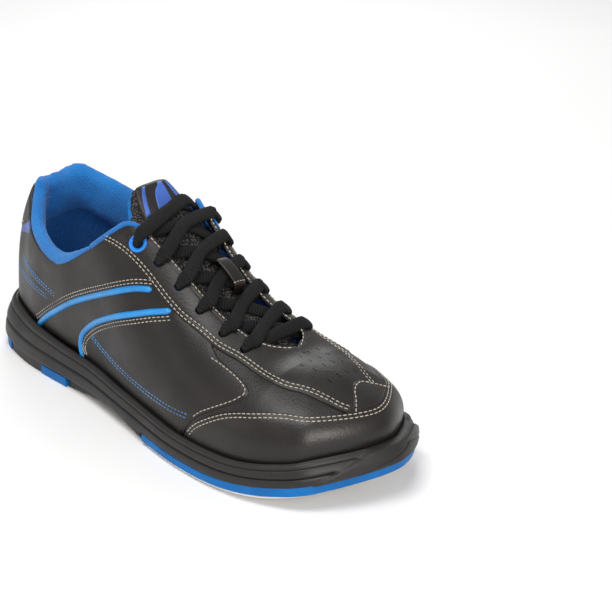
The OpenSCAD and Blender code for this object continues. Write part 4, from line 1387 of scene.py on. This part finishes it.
def build_keeper():
    path = smooth_path(STRAP, 8)
    across = np.linspace(0, 1, 9)
    q = AROUND - path[:, :1] + 0 * across
    w = mix(*STRAP_W, across) + 0 * q
    outer = skin(q, w, path[:, 1:] + 0.25 * (1 - (2 * across - 1) ** 4))
    inner = skin(q, w, path[:, 1:] - STRAP_T + 0 * w)
    obj = mesh_object("keeper_strap", *sheet_parts(outer, inner), leather, TONGUE, "upper_leather")
    fix_normals(obj)
    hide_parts("lace_keeper")
    k = 5 * len(path) // 8
    line = outer[k + 1]
    normal = unit(np.cross(outer[k + 2] - outer[k], np.gradient(line, axis=0)))
    stitches = stitch_parts(line + normal * 0.15, normal, 2.0)
    mesh_object("keeper_stitches", *stitches, cream_thread, TONGUE, "upper_leather")


# ---- Lace: stops along its route, each a station, a share, a distance off the last and a width
OVER_D, OVER_RING_D, CROSS_D, UNDER_D, MID_D, TUCK_D = 1.9, 3.2, -1.3, -3.4, -3.7, -3.2
LACE_W, LACE_T, HOLE_W = 7.6, 2.9, 4.2
HEM, BESIDE = 0.1, 0.04


def by_hole(row, s, up, d, width):
    """Stop beside a lace hole; s is 1 on the lateral side and -1 on the medial side."""
    if s > 0:
        return ROW_Q[row], HOLE_LAT[row] + up, d, width
    return AROUND - ROW_Q[row], HOLE_MED[row] + up, d, width


def in_hole(row, s):
    return by_hole(row, s, 0, 0.2, HOLE_W)


def over_lip(row, s):
    return by_hole(row, s, 0.012, 3.0 if row == 0 else 1.7, HOLE_W + 0.6)


def above_hole(row, s):
    up, d = (0.065, OVER_RING_D) if row == 0 else (BESIDE + 0.01, OVER_D + 0.3)
    return by_hole(row, s, up, d, LACE_W - 0.6)


def below_hole(row, s):
    return by_hole(row, s, 0.03, TUCK_D, LACE_W - 1)


def at_hem(row, s, d):
    return by_hole(row, s, HEM, d, LACE_W)


def mid_throat(a, b, d):
    return (ROW_Q[a] + ROW_Q[b]) / 2, 1, d, LACE_W - 0.6


def over(a, b):
    """From lateral hole a over the throat to medial hole b."""
    return [in_hole(a, 1), over_lip(a, 1), above_hole(a, 1), at_hem(a, 1, OVER_D), mid_throat(a, b, CROSS_D),
            at_hem(b, -1, OVER_D), above_hole(b, -1), over_lip(b, -1), in_hole(b, -1)]


def under(a, b):
    """From medial hole a under the throat to lateral hole b."""
    return [below_hole(a, -1), at_hem(a, -1, UNDER_D), mid_throat(a, b, MID_D), at_hem(b, 1, UNDER_D),
            below_hole(b, 1)]


BAR = [below_hole(5, 1), at_hem(5, 1, UNDER_D), mid_throat(5, 5, TUCK_D), at_hem(5, -1, OVER_D),
       above_hole(5, -1), over_lip(5, -1), in_hole(5, -1)]
TAIL_MEDIAL = [by_hole(0, -1, -0.02, TUCK_D, HOLE_W), by_hole(0, -1, -0.08, TUCK_D, 3)]
TAIL_LATERAL = [in_hole(0, 1), over_lip(0, 1), above_hole(0, 1), at_hem(0, 1, OVER_D), (7.1, 1, -3.9, LACE_W),
                (21.05, 0.8, -3.9, LACE_W), (21.05, 0.64, -3.6, LACE_W - 1), (21.05, 0.5, TUCK_D, 3)]
ROUTE = ((over(5, 4) + under(4, 3) + over(3, 2) + under(2, 1) + over(1, 0) + TAIL_MEDIAL)[::-1]
         + BAR + under(5, 4) + over(4, 3) + under(3, 2) + over(2, 1) + under(1, 0) + TAIL_LATERAL)
DOWN_THROAT = np.array([1, 0, -0.8])
RING_STEP = 0.42
LACE_SIDES = 20


def lace_path():
    """Points, distances and widths along the lace."""
    stops = np.array(ROUTE, float)
    points = skin(stops[:, 0], stops[:, 1], stops[:, 2])
    fine = smooth_path(np.column_stack([points, stops[:, 3]]), 24)
    length = np.concatenate([[0], np.cumsum(np.linalg.norm(np.diff(fine[:, :3], axis=0), axis=-1))])
    at = np.arange(0, length[-1], RING_STEP)
    p = np.stack([np.interp(at, length, fine[:, k]) for k in range(3)], -1)
    window = np.hanning(9)
    window /= window.sum()
    for k in range(3):
        p[4:-4, k] = np.convolve(p[:, k], window, "valid")
    return p, at, np.interp(at, length, fine[:, 3])


def lace_rings(p, at, width):
    """Flat oval sections with a ribbed surface, their broad side along the throat."""
    way = unit(np.gradient(p, axis=0))
    side = unit(DOWN_THROAT - way * (way @ DOWN_THROAT)[:, None])
    thick = np.cross(way, side)
    angle = np.radians(np.arange(0, 360, 360 / LACE_SIDES))
    c, s = np.cos(angle), np.sin(angle)
    c, s = np.sign(c) * np.abs(c) ** 0.8, np.sign(s) * np.abs(s) ** 0.8
    tall = LACE_T * np.sqrt(LACE_W / width) * 0.92
    rib = 0.13 * np.sin(at[:, None] * 3.9 + 5.5 * np.abs(c)[None, :])
    ring = side[:, None] * (width[:, None] / 2 * c[None, :])[..., None]
    ring = ring + thick[:, None] * (tall[:, None] / 2 * s[None, :])[..., None]
    return p[:, None] + ring * (1 + rib / 3)[..., None]


def build_lace():
    p, at, width = lace_path()
    verts, faces = tube_parts(lace_rings(p, at, width))
    u = np.repeat(at, LACE_SIDES)
    v = np.tile(np.arange(LACE_SIDES) / LACE_SIDES, len(at))
    uv = np.column_stack([np.append(u, [0, 0]), np.append(v, [0, 0])])
    obj = mesh_object("woven_lace", verts, faces, lace_black, SHOE, "lace", uv=uv)
    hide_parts("lace")


# ---- CAD pieces that stay
CARRIED = {"heel_pad": rubber_black, "heel_lugs": rubber_blue, "shank_panel_lateral": rubber_black,
           "shank_panel_medial": rubber_black, "shank_stripe": rubber_blue, "midsole": foam_grey,
           "steel_shank": steel, "insole_board": fibre_tan, "heel_counter": fibre_tan, "toe_puff": fibre_tan,
           "eyelet_rings": ring_blue, "tongue_anchor": leather, "aglets": tip_plastic}


def dress_carried():
    for name, look in CARRIED.items():
        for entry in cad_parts[name].material_slots:
            entry.material = look


add_camera()
add_stage()
build_outsole()
build_bottom()
build_panels()
build_vamp()
build_toe_patch()
build_piping()
build_top_line()
build_stitches()
build_collar()
build_lining()
build_foot_bed()
build_tongue()
build_badge()
build_keeper()
build_lace()
dress_carried()
